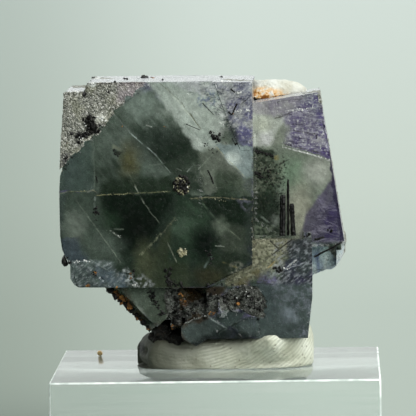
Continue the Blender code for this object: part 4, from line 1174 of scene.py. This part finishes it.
def ribbed_prism(name, foot, tip, radius, material, node, ribs=9):
    """A tourmaline prism: a ribbed outline drawn up in uneven steps to a blunt end."""
    chance = random.Random(name)
    foot, tip = Vector(foot), Vector(tip)
    length = (tip - foot).length
    shape = bmesh.new()
    bmesh.ops.create_circle(shape, cap_ends=True, radius=radius, segments=2 * ribs)
    for i, vert in enumerate(shape.verts):
        if i % 2:
            vert.co *= chance.uniform(0.8, 0.9)
    face = shape.faces[:][0]
    steps = [0.0, 0.12, 0.3, 0.31, 0.55, 0.74, 0.75, 0.93, 1.0]
    for low, high in zip(steps, steps[1:]):
        moved = bmesh.ops.extrude_discrete_faces(shape, faces=[face])
        face = moved["faces"][0]
        bmesh.ops.translate(shape, vec=(0, 0, (high - low) * length), verts=face.verts)
        share = 0.72 if high == 1.0 else chance.uniform(0.93, 1.06)
        middle = face.calc_center_median()
        bmesh.ops.scale(shape, vec=(share, share, 1.0), space=Matrix.Translation(-middle), verts=face.verts)
    bmesh.ops.recalc_face_normals(shape, faces=shape.faces)
    bmesh.ops.subdivide_edges(shape, edges=shape.edges, cuts=2, use_grid_fill=True)
    for vert in shape.verts:
        vert.co += vert.normal * 0.09 * swirl(vert.co, 0.35)
    shape.transform(Matrix.Translation(foot) @ (tip - foot).to_track_quat("Z", "Y").to_matrix().to_4x4())
    return add_piece(name, shape, (material,), (node,))


def dress_lump(name, node, material, spacing, depth, size, smooth=True):
    """A solid with a worn, uneven surface."""
    shape = shape_of(node)
    bmesh.ops.triangulate(shape, faces=shape.faces)
    refine(shape, lambda point: spacing)
    shape.normal_update()
    moves = {v: v.normal * depth * (swirl(v.co, size) + 0.5 * swirl(v.co, size / 3)) for v in shape.verts}
    floor_height = min(vert.co.z for vert in shape.verts) + 0.05
    for vert, move in moves.items():
        if vert.co.z > floor_height:
            vert.co += move
    piece = add_piece(name, shape, (material,), (node,), smooth)
    if smooth:
        piece.data.set_sharp_from_angle(angle=math.radians(38))
    return piece


def dress_tack(material):
    """The wad of putty: drawn up beside the crystal at the right, pressed hollow at the left, with a folded crease."""
    shape = shape_of("mineral_tack")
    bmesh.ops.triangulate(shape, faces=shape.faces)
    refine(shape, lambda point: 0.5)
    shape.normal_update()
    foot = min(vert.co.z for vert in shape.verts) + 0.05
    for vert in shape.verts:
        point = vert.co.copy()
        if point.z < foot:
            continue
        px, py = pictured(point)
        move = vert.normal * (0.16 * swirl(point, 3.0) + 0.05 * swirl(point, 0.9))
        if point.y < 0:
            along = (px - 262) / 40
            if 0 < along < 1:
                off = py - (368 - 10 * along)
                ends = math.sin(math.pi * along)
                fold = 0.32 * math.exp(-((off - 3.5) / 2.2) ** 2) - 0.4 * math.exp(-((off + 0.5) / 1.6) ** 2)
                move += vert.normal * ends * fold
            hollow = math.exp(-((px - 141) / 4.5) ** 2 - ((py - 350) / 6.0) ** 2)
            move -= vert.normal * 1.3 * hollow
            bulge = math.exp(-((px - 272) / 24) ** 2) * max(0.0, min(1.0, (point.z - 12.8) / 3.4))
            move += Vector((0.0, -4.0, 0.8)) * bulge * max(0.0, min(1.0, (-point.y - 2.0) / 4.0))
            tucked = max(0.0, min(1.0, (153 - px) / 14)) * max(0.0, (14.4 - point.z) / 2.2)
            move += Vector((1.3, 0.0, 0.25)) * tucked
            shoulder = math.exp(-((px - 157) / 16) ** 2) * max(0.0, min(1.0, (point.z - 14.0) / 2.5))
            move += Vector((0.0, 0.0, 1.1)) * shoulder
        lip = max(0.0, min(1.0, (point.x - 12.4) / 1.4)) * max(0.0, min(1.0, (point.z - 14.2) / 2.0))
        if point.y < 5:
            move += Vector((0.1, 0.0, 1.5)) * lip
        vert.co += move
    piece = add_piece("tack_wad", shape, (material,), ("mineral_tack",), smooth=True)
    piece.data.set_sharp_from_angle(angle=math.radians(50))
    return piece


def dress_feldspar(material):
    """The feldspar lump: rounded, sugary, and grown tight against the crystals."""
    shape = shape_of("feldspar_matrix")
    bmesh.ops.triangulate(shape, faces=shape.faces)
    refine(shape, lambda point: 0.7)
    for i in range(6):
        soft = shape.verts if i < 1 else [vert for vert in shape.verts if vert.co.y < 5.0 and vert.co.z > 49.0]
        bmesh.ops.smooth_vert(shape, verts=soft, factor=0.5, use_axis_x=True, use_axis_y=True, use_axis_z=True)
    chance = random.Random(19)
    middle, radii = Vector((6.2, 4.4, 46.4)), (10.3, 9.4, 9.9)
    cleavages = []
    for _ in range(16):
        way = Vector((chance.uniform(-1.0, 1.0), chance.uniform(0.1, 1.0), chance.uniform(-1.0, 0.8))).normalized()
        cleavages.append((way, chance.uniform(0.82, 0.93) * math.sqrt(sum((way[i] * radii[i]) ** 2 for i in range(3)))))
    for vert in shape.verts:
        if vert.co.y < 2.5:
            continue
        for way, reach in cleavages:
            over = (vert.co - middle).dot(way) - reach
            if over > 0:
                vert.co -= 0.92 * over * way
    shape.normal_update()
    for vert in shape.verts:
        rough = 0.3 * swirl(vert.co, 2.6) + 0.16 * swirl(vert.co, 0.9) + 0.06 * swirl(vert.co, 0.4)
        px = pictured(vert.co)[0]
        top = max(0.0, min(1.0, (vert.co.z - 51.0) / 2.5)) * max(0.0, min(1.0, (vert.normal.z - 0.05) / 0.3))
        wide = max(0.0, min(1.0, (px - 258) / 26)) * max(0.0, min(1.0, (vert.co.z - 47.0) / 3.0))
        lift = 0.3 * math.exp(-((px - 278) / 12) ** 2) - 0.8 * math.exp(-((px - 254) / 12) ** 2)
        if vert.co.y > 3.0:
            rough = 0.3 * rough - 0.2
        vert.co += vert.normal * (0.42 + rough) + Vector((1.3 * wide, 0.0, lift * top))
        vert.co.x = min(vert.co.x, 15.8 + 0.25 * swirl(vert.co, 2.0))
    piece = add_piece("feldspar_lump", shape, (material,), ("feldspar_matrix",), smooth=True)
    piece.data.set_sharp_from_angle(angle=math.radians(24))
    return piece


def dress_block(material, edge_material):
    """The acrylic block; its narrow bevelled edges are painted brighter than its faces, as a sheen of light."""
    low, high = (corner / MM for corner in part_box("display_block"))
    shape = bmesh.new()
    place = Matrix.Translation((low + high) / 2) @ Matrix.Diagonal((*(high - low), 1.0))
    bmesh.ops.create_cube(shape, size=1.0, matrix=place)
    made = bmesh.ops.bevel(
        shape, geom=shape.edges[:], offset=0.26, segments=3, profile=0.5, affect="EDGES", material=-1
    )
    for face in made["faces"]:
        if face.calc_area() < 30.0:
            face.material_index = 1
    piece = add_piece("acrylic_block", shape, (material, edge_material), ("display_block",), smooth=True)
    piece.data.set_sharp_from_angle(angle=math.radians(35))
    return piece


# ---------------------------------------------------------------- building it
fluorite = make_fluorite()
crust = make_crust()
tourmaline = make_tourmaline()
feldspar = make_feldspar()
tack = make_tack()
acrylic = make_acrylic()
seam_grain = make_grains(
    "seam grains", ((0.0, (60, 58, 40)), (0.35, (112, 108, 76)), (0.7, (150, 144, 108)), (1.0, (204, 200, 176))), 0.4
)
rust = make_grains("rust crust", ((0.0, (34, 22, 12)), (0.4, (84, 52, 24)), (0.8, (140, 90, 40)), (1.0, (196, 140, 72))), 0.7)
frost = make_grains("white flecks", ((0.0, (176, 178, 174)), (0.5, (210, 210, 206)), (1.0, (240, 240, 238))), 0.3)

skin, fluorite_piece = dress_fluorite(fluorite, crust)

# Black grains and needles: paths in the picture, how many, their sizes in millimetres, and how far they stray in pixels
BLACK_GRAIN_PATHS = (
    (((91, 118), (88, 124), (93, 130)), 44, (0.2, 0.5), (2.2, 2.4)),
    (((78, 137), (89, 133), (99, 131)), 26, (0.16, 0.36), (1.6, 0.8)),
    (((77, 134), (82, 142)), 14, (0.12, 0.3), (2.4, 2.2)),
    (((99, 125), (102, 127)), 4, (0.1, 0.2), (1.0, 1.0)),
    (((114, 82.6),), 2, (0.18, 0.26), (0.4, 0.8)),
    (((108.5, 92),), 1, (0.14, 0.2), (0.3, 0.3)),
    (((97, 94.7),), 1, (0.12, 0.18), (0.3, 0.3)),
    (((86, 92), (84.6, 96)), 5, (0.14, 0.24), (0.5, 0.7)),
    (((112, 152), (120, 156)), 8, (0.08, 0.2), (1.6, 1.2)),
    (((96.5, 208), (96.5, 217)), 12, (0.14, 0.32), (1.2, 1.6)),
    (((212, 134), (218, 141)), 26, (0.1, 0.3), (2.2, 2.4)),
    (((222.5, 136), (227, 145)), 3, (0.08, 0.14), (0.6, 0.6)),
    (((237, 144),), 3, (0.1, 0.18), (1.0, 1.4)),
    (((206, 142), (214, 150)), 14, (0.06, 0.14), (3.0, 3.0)),
    (((206, 251), (212.5, 263)), 14, (0.1, 0.24), (1.6, 2.0)),
    (((168, 268), (172, 295)), 34, (0.12, 0.34), (2.2, 1.4)),
    (((175, 283), (186, 288)), 16, (0.12, 0.3), (2.4, 2.0)),
    (((253.5, 210), (253.5, 248)), 22, (0.07, 0.16), (0.4, 1.0)),
    (((254, 151), (273, 156)), 16, (0.1, 0.26), (2.0, 1.2)),
    (((258, 166), (272, 172), (262, 182)), 22, (0.08, 0.22), (3.2, 3.0)),
    (((254, 172), (262, 178)), 12, (0.12, 0.24), (1.4, 1.4)),
    (((270, 178), (279, 186)), 8, (0.08, 0.16), (1.6, 1.6)),
    (((313, 134), (322, 137)), 5, (0.06, 0.12), (2.0, 1.0)),
    (((328, 229), (333, 232)), 8, (0.12, 0.22), (1.2, 0.8)),
    (((306, 238), (310, 232)), 8, (0.12, 0.26), (1.6, 1.6)),
    (((274, 268), (281, 272)), 10, (0.14, 0.3), (1.8, 1.4)),
    (((149, 292), (157, 306), (163, 316)), 26, (0.14, 0.34), (1.6, 1.6)),
    (((110, 290), (114, 295), (126, 305), (130, 311), (141, 320), (152, 333)), 80, (0.18, 0.46), (1.2, 1.2)),
    (((178, 296), (176, 312), (172, 330)), 40, (0.16, 0.4), (2.0, 2.0)),
    (((214, 300), (232, 297), (256, 300), (262, 312)), 60, (0.1, 0.3), (3.4, 3.4)),
    (((186, 312), (204, 300), (212, 296)), 34, (0.14, 0.34), (3.2, 3.2)),
    (((170, 330), (186, 316)), 20, (0.16, 0.36), (2.6, 2.6)),
    (((131, 268), (134, 278)), 8, (0.08, 0.18), (1.0, 1.4)),
    (((94, 271), (96, 278)), 8, (0.1, 0.2), (1.6, 1.6)),
    (((64, 256), (68, 266)), 8, (0.1, 0.24), (1.2, 1.4)),
    (((62, 160), (72, 156)), 12, (0.08, 0.2), (1.6, 1.2)),
    (((60, 172), (68, 164)), 10, (0.06, 0.16), (1.2, 1.2)),
    (((91, 78), (94, 78)), 5, (0.14, 0.26), (0.8, 0.3)),
    (((124, 79), (128, 79)), 6, (0.16, 0.3), (0.8, 0.3)),
    (((141, 78), (149, 77.5)), 14, (0.2, 0.42), (1.4, 0.3)),
    (((160, 80), (164, 80)), 4, (0.1, 0.2), (1.0, 0.3)),
    (((222, 77),), 5, (0.16, 0.3), (0.6, 0.2)),
    (((207, 285), (240, 286)), 14, (0.1, 0.24), (2.6, 1.6)),
)
BLACK_NEEDLES = (
    ((207.7, 170), (211.4, 177.6), 0.12),
    ((211.2, 177), (213.4, 183.8), 0.16),
    ((230.6, 88.8), (235, 92.5), 0.13),
    ((241.5, 104), (249, 97), 0.06),
    ((237, 103.6), (232.4, 113.6), 0.16),
    ((228.4, 111.7), (232, 115), 0.16),
    ((202.5, 103), (213.6, 114.7), 0.07),
    ((96, 176), (97.4, 183), 0.12),
    ((186, 124), (200, 130), 0.07),
    ((279, 165), (288, 159.5), 0.07),
    ((255, 172), (264, 178), 0.18),
    ((256, 150.5), (272, 155.5), 0.17),
    ((270, 240.7), (278.5, 249), 0.09),
    ((292, 239.5), (272, 255), 0.08),
    ((232, 138), (236, 146), 0.06),
    ((86, 133), (78, 137), 0.15),
)
PALE_GRAIN_PATHS = (
    (((69, 191.5), (94, 190.7)), 20, (0.021, 0.056), (1.0, 0.5)),
    (((92, 189), (96, 193)), 5, (0.042, 0.084), (0.6, 0.6)),
    (((95, 195), (131, 193.5)), 26, (0.028, 0.07), (1.0, 0.7)),
    (((128, 193), (170, 191.4)), 29, (0.021, 0.056), (1.0, 0.6)),
    (((191, 198.6), (215, 197.3)), 20, (0.021, 0.056), (1.0, 0.6)),
    (((214, 198), (226, 201)), 12, (0.042, 0.098), (1.4, 1.0)),
    (((226, 198), (246, 200)), 10, (0.021, 0.056), (1.0, 0.6)),
    (((252.4, 100), (252.4, 262)), 73, (0.028, 0.07), (0.35, 1.0)),
    (((175, 218), (160, 236), (140, 256)), 40, (0.021, 0.056), (1.2, 1.0)),
    (((196, 198), (206, 203)), 6, (0.028, 0.056), (1.6, 1.0)),
    (((256, 160), (272, 176)), 10, (0.028, 0.07), (3.4, 4.0)),
    (((182.5, 252.7),), 26, (0.12, 0.36), (2.0, 2.0)),
    (((241, 247), (216, 252)), 4, (0.021, 0.042), (3.0, 3.0)),
    (((180, 172), (206, 192)), 9, (0.021, 0.042), (5.0, 4.0)),
)
RUST_PATHS = (
    (((115, 290), (124, 300), (131, 306)), 22, (0.1, 0.28), (2.0, 2.0)),
    (((113, 292), (120, 298), (130, 308)), 34, (0.2, 0.42), (1.6, 1.6)),
    (((130, 309), (142, 321), (152, 334)), 9, (0.14, 0.34), (1.6, 1.6)),
    (((150, 331), (158, 328), (168, 323)), 12, (0.12, 0.26), (2.4, 2.0)),
    (((95, 272.6),), 5, (0.08, 0.18), (1.0, 1.0)),
    (((87.5, 285),), 5, (0.1, 0.2), (1.6, 0.8)),
    (((130, 270), (131, 281)), 8, (0.08, 0.18), (0.8, 1.2)),
    (((237.2, 303.4),), 4, (0.18, 0.28), (0.8, 0.6)),
    (((211, 313),), 8, (0.08, 0.18), (1.8, 0.8)),
    (((170, 321), (174, 328)), 7, (0.12, 0.26), (2.4, 2.6)),
    (((181, 292), (186, 303)), 12, (0.1, 0.24), (1.4, 2.0)),
    (((232.5, 114),), 2, (0.1, 0.16), (0.4, 0.4)),
    (((122.4, 126.6),), 1, (0.1, 0.14), (0.2, 0.2)),
    (((165.5, 127),), 2, (0.08, 0.12), (0.6, 0.4)),
    (((67, 143),), 1, (0.1, 0.14), (0.2, 0.2)),
    (((150, 78), (156, 78)), 5, (0.12, 0.2), (1.2, 0.3)),
)
WHITE_PATHS = (
    (((92.4, 83.3),), 4, (0.14, 0.26), (0.7, 0.7)),
    (((88, 128), (84, 136), (92, 124)), 18, (0.08, 0.2), (3.0, 3.0)),
    (((80, 138), (84, 141)), 6, (0.08, 0.18), (1.6, 1.6)),
    (((98, 117), (108, 122)), 16, (0.1, 0.2), (1.0, 0.6)),
    (((219, 81.4), (230, 81)), 10, (0.1, 0.2), (0.8, 0.4)),
    (((236, 93.5), (241, 93)), 6, (0.1, 0.18), (0.6, 0.4)),
    (((235, 111.5), (249, 110.5)), 14, (0.08, 0.16), (0.6, 0.4)),
    (((219.5, 123), (225.5, 125)), 6, (0.08, 0.18), (0.6, 0.4)),
    (((116, 234), (121, 237.5)), 4, (0.08, 0.14), (0.4, 0.4)),
    (((67, 92), (84, 90.5)), 14, (0.1, 0.22), (1.2, 0.7)),
    (((298, 151), (312, 154.5), (329, 160)), 20, (0.06, 0.12), (0.8, 0.3)),
    (((286, 111), (318, 108)), 16, (0.06, 0.14), (1.0, 1.0)),
    (((255, 110), (258, 112)), 3, (0.06, 0.12), (0.8, 0.6)),
    (((280, 275), (296, 261)), 16, (0.05, 0.12), (1.2, 1.0)),
    (((226, 296), (250, 292)), 14, (0.06, 0.14), (4.0, 2.6)),
    (((184, 322), (212, 314)), 14, (0.05, 0.12), (1.4, 0.8)),
    (((71, 262), (91, 261)), 12, (0.06, 0.14), (1.4, 0.8)),
    (((132, 284), (148, 286)), 10, (0.06, 0.14), (1.4, 1.2)),
)
KNOT = (182.0, 185.5)
CRUMB = (99.7, 355.4)
BLOCK_TOP = 12.0


def dress_details():
    """The grains, needles and crusts that sit on the crystals."""
    black, pale, brown, white, loose = (bmesh.new() for _ in range(5))
    for shape, paths, first in ((black, BLACK_GRAIN_PATHS, 100), (pale, PALE_GRAIN_PATHS, 200),
                                (brown, RUST_PATHS, 300), (white, WHITE_PATHS, 400)):
        for i, (path, count, sizes, spread) in enumerate(paths):
            strew(shape, skin, path, count, sizes, spread, first + i)
    for start, end, width in BLACK_NEEDLES:
        add_needle(black, skin, start, end, width)
    for i in range(3):
        ring = [(KNOT[0] + 3.1 * (i + 0.5) * math.cos(a), KNOT[1] + 3.5 * (i + 0.5) * math.sin(a)) for a in range(7)]
        strew(black, skin, ring, 70 - 12 * i, (0.14, 0.32), (0.9, 0.9), 31 + i)
        strew(pale, skin, ring, 30 + 14 * i, (0.1, 0.2), (1.0, 1.0), 41 + i)
    strew(white, skin, (KNOT,), 16, (0.06, 0.13), (3.2, 3.0), 51)
    ray = (seen(*CRUMB, 0.0) - EYE).normalized()
    crumb = EYE + ray * ((BLOCK_TOP - EYE.z) / ray.z)
    for offset, size in ((Vector((0.0, 0.0, 0.38)), 0.4), (Vector((0.16, 0.1, 0.3)), 0.32)):
        place = Matrix.Translation(crumb + offset)
        bmesh.ops.create_icosphere(loose, subdivisions=2, radius=size, matrix=place)
    add_piece("tourmaline_sprinkles", black, (tourmaline,))
    add_piece("pale_grains", pale, (seam_grain,))
    add_piece("rust_grains", brown, (rust,))
    add_piece("white_flecks", white, (frost,))
    crumb_steps = ((0.0, (226, 168, 92)), (0.5, (240, 190, 120)), (1.0, (246, 214, 160)))
    add_piece("block_crumb", loose, (make_grains("orange crumb", crumb_steps, 0.6),))


def dress_root(material):
    """The dark, rust-stained mass between the slanting crystal and the putty; its near-black tone is partly painted
    shade, filling the shadowed gap there.
    """
    shape = bmesh.new()
    for place, radii in (((164, 331), (2.0, 3.0, 1.9)), ((176, 338), (2.2, 3.0, 1.6)), ((155, 337), (1.0, 2.0, 1.1))):
        centre = seen(*place, -5.6)
        placed = Matrix.Translation(centre) @ Matrix.Diagonal((*radii, 1.0))
        bmesh.ops.create_icosphere(shape, subdivisions=4, radius=1.0, matrix=placed)
    shape.normal_update()
    for vert in shape.verts:
        vert.co += vert.normal * (0.4 * swirl(vert.co, 1.4) + 0.4 * swirl(vert.co, 0.5) - 0.15)
    return add_piece("root_crust", shape, (material,))


dress_details()
# The root crust's near-black tones are partly painted shade.
dress_root(make_grains("root crust and painted shade", ((0.0, (3, 3, 3)), (0.6, (9, 9, 8)), (0.88, (18, 16, 12)), (1.0, (38, 30, 18))), 0.7))
dress_feldspar(feldspar)
dress_tack(tack)
dress_lump("edge_knot", "tourmaline_knot", tourmaline, 0.25, 0.08, 0.5, smooth=False)
dress_block(acrylic, make_block_edge())
LEDGE = 32.58
ribbed_prism("prism_left", (10.3, -9.75, LEDGE), (10.46, -9.7, 38.85), 0.46, tourmaline, "tourmaline_prism_left")
ribbed_prism("prism_middle", (11.2, -9.3, LEDGE), (11.3, -9.3, 41.2), 0.2, tourmaline, "tourmaline_prism_middle", 6)
ribbed_prism("prism_right", (12.0, -9.65, LEDGE), (11.8, -9.6, 37.5), 0.42, tourmaline, "tourmaline_prism_right")
ribbed_prism("needle_long", (15.1, -9.0, 29.2), (19.4, -8.95, 31.4), 0.16, tourmaline, "tourmaline_needle_long", 5)
ribbed_prism("needle_short", (15.2, -9.05, 31.85), (16.7, -9.0, 32.2), 0.2, tourmaline, "tourmaline_needle_short", 5)

# ---------------------------------------------------------------- stage, lamps and camera
ground = bmesh.new()
bmesh.ops.create_grid(ground, x_segments=1, y_segments=1, size=12000.0)
bmesh.ops.scale(ground, vec=(MM, MM, MM), verts=ground.verts)
ground_mesh = bpy.data.meshes.new("pale_floor")
ground.to_mesh(ground_mesh)
ground.free()
ground_mesh.materials.append(make_floor())
floor = bpy.data.objects.new("pale_floor", ground_mesh)
bpy.context.scene.collection.objects.link(floor)
floor.visible_glossy = False


def add_sun(name, strength, spread, towards, colour=(1.0, 1.0, 1.0)):
    lamp = bpy.data.lights.new(name, "SUN")
    lamp.energy = strength
    lamp.angle = math.radians(spread)
    lamp.color = colour
    made = bpy.data.objects.new(name, lamp)
    made.rotation_euler = Vector(towards).to_track_quat("-Z", "Y").to_euler()
    made.visible_transmission = False
    bpy.context.scene.collection.objects.link(made)


add_sun("studio key", 3.2, 64.0, (-0.7, 0.75, -0.6), (1.0, 1.0, 0.98))
add_sun("overhead", 1.2, 50.0, (-0.1, -0.15, -1.0))

world = bpy.data.worlds.new("studio")
bpy.context.scene.world = world
world.use_nodes = True
sky = world.node_tree
way = sky.nodes.new("ShaderNodeTexCoord").outputs["Generated"]
lift = vector_sum(sky, "DOT_PRODUCT", way, tuple(Vector((0.15, 0.8, 0.55)).normalized()), output="Value")
studio = tone_steps(sky, spread_out(sky, lift, -0.8, 0.9), ((0.0, (70, 76, 74)), (0.45, (126, 134, 130)), (1.0, (240, 247, 243))))
seen_sky = sky.nodes.new("ShaderNodeLightPath").outputs["Is Camera Ray"]
put(sky.nodes["Background"].inputs["Color"], blended(sky, seen_sky, studio, shade((201, 210, 205))))
sky.nodes["Background"].inputs["Strength"].default_value = 1.0

lens = bpy.data.cameras.new("camera")
lens.lens = LENS
lens.sensor_width = SENSOR
lens.clip_start = 0.01
lens.clip_end = 100.0
camera = bpy.data.objects.new("camera", lens)
bpy.context.scene.collection.objects.link(camera)
turn = Matrix((SIDEWAYS, UPWARDS, -AHEAD)).transposed().to_4x4()
camera.matrix_world = Matrix.Translation(EYE * MM) @ turn
bpy.context.scene.camera = camera
bpy.context.scene.view_settings.view_transform = "Standard"
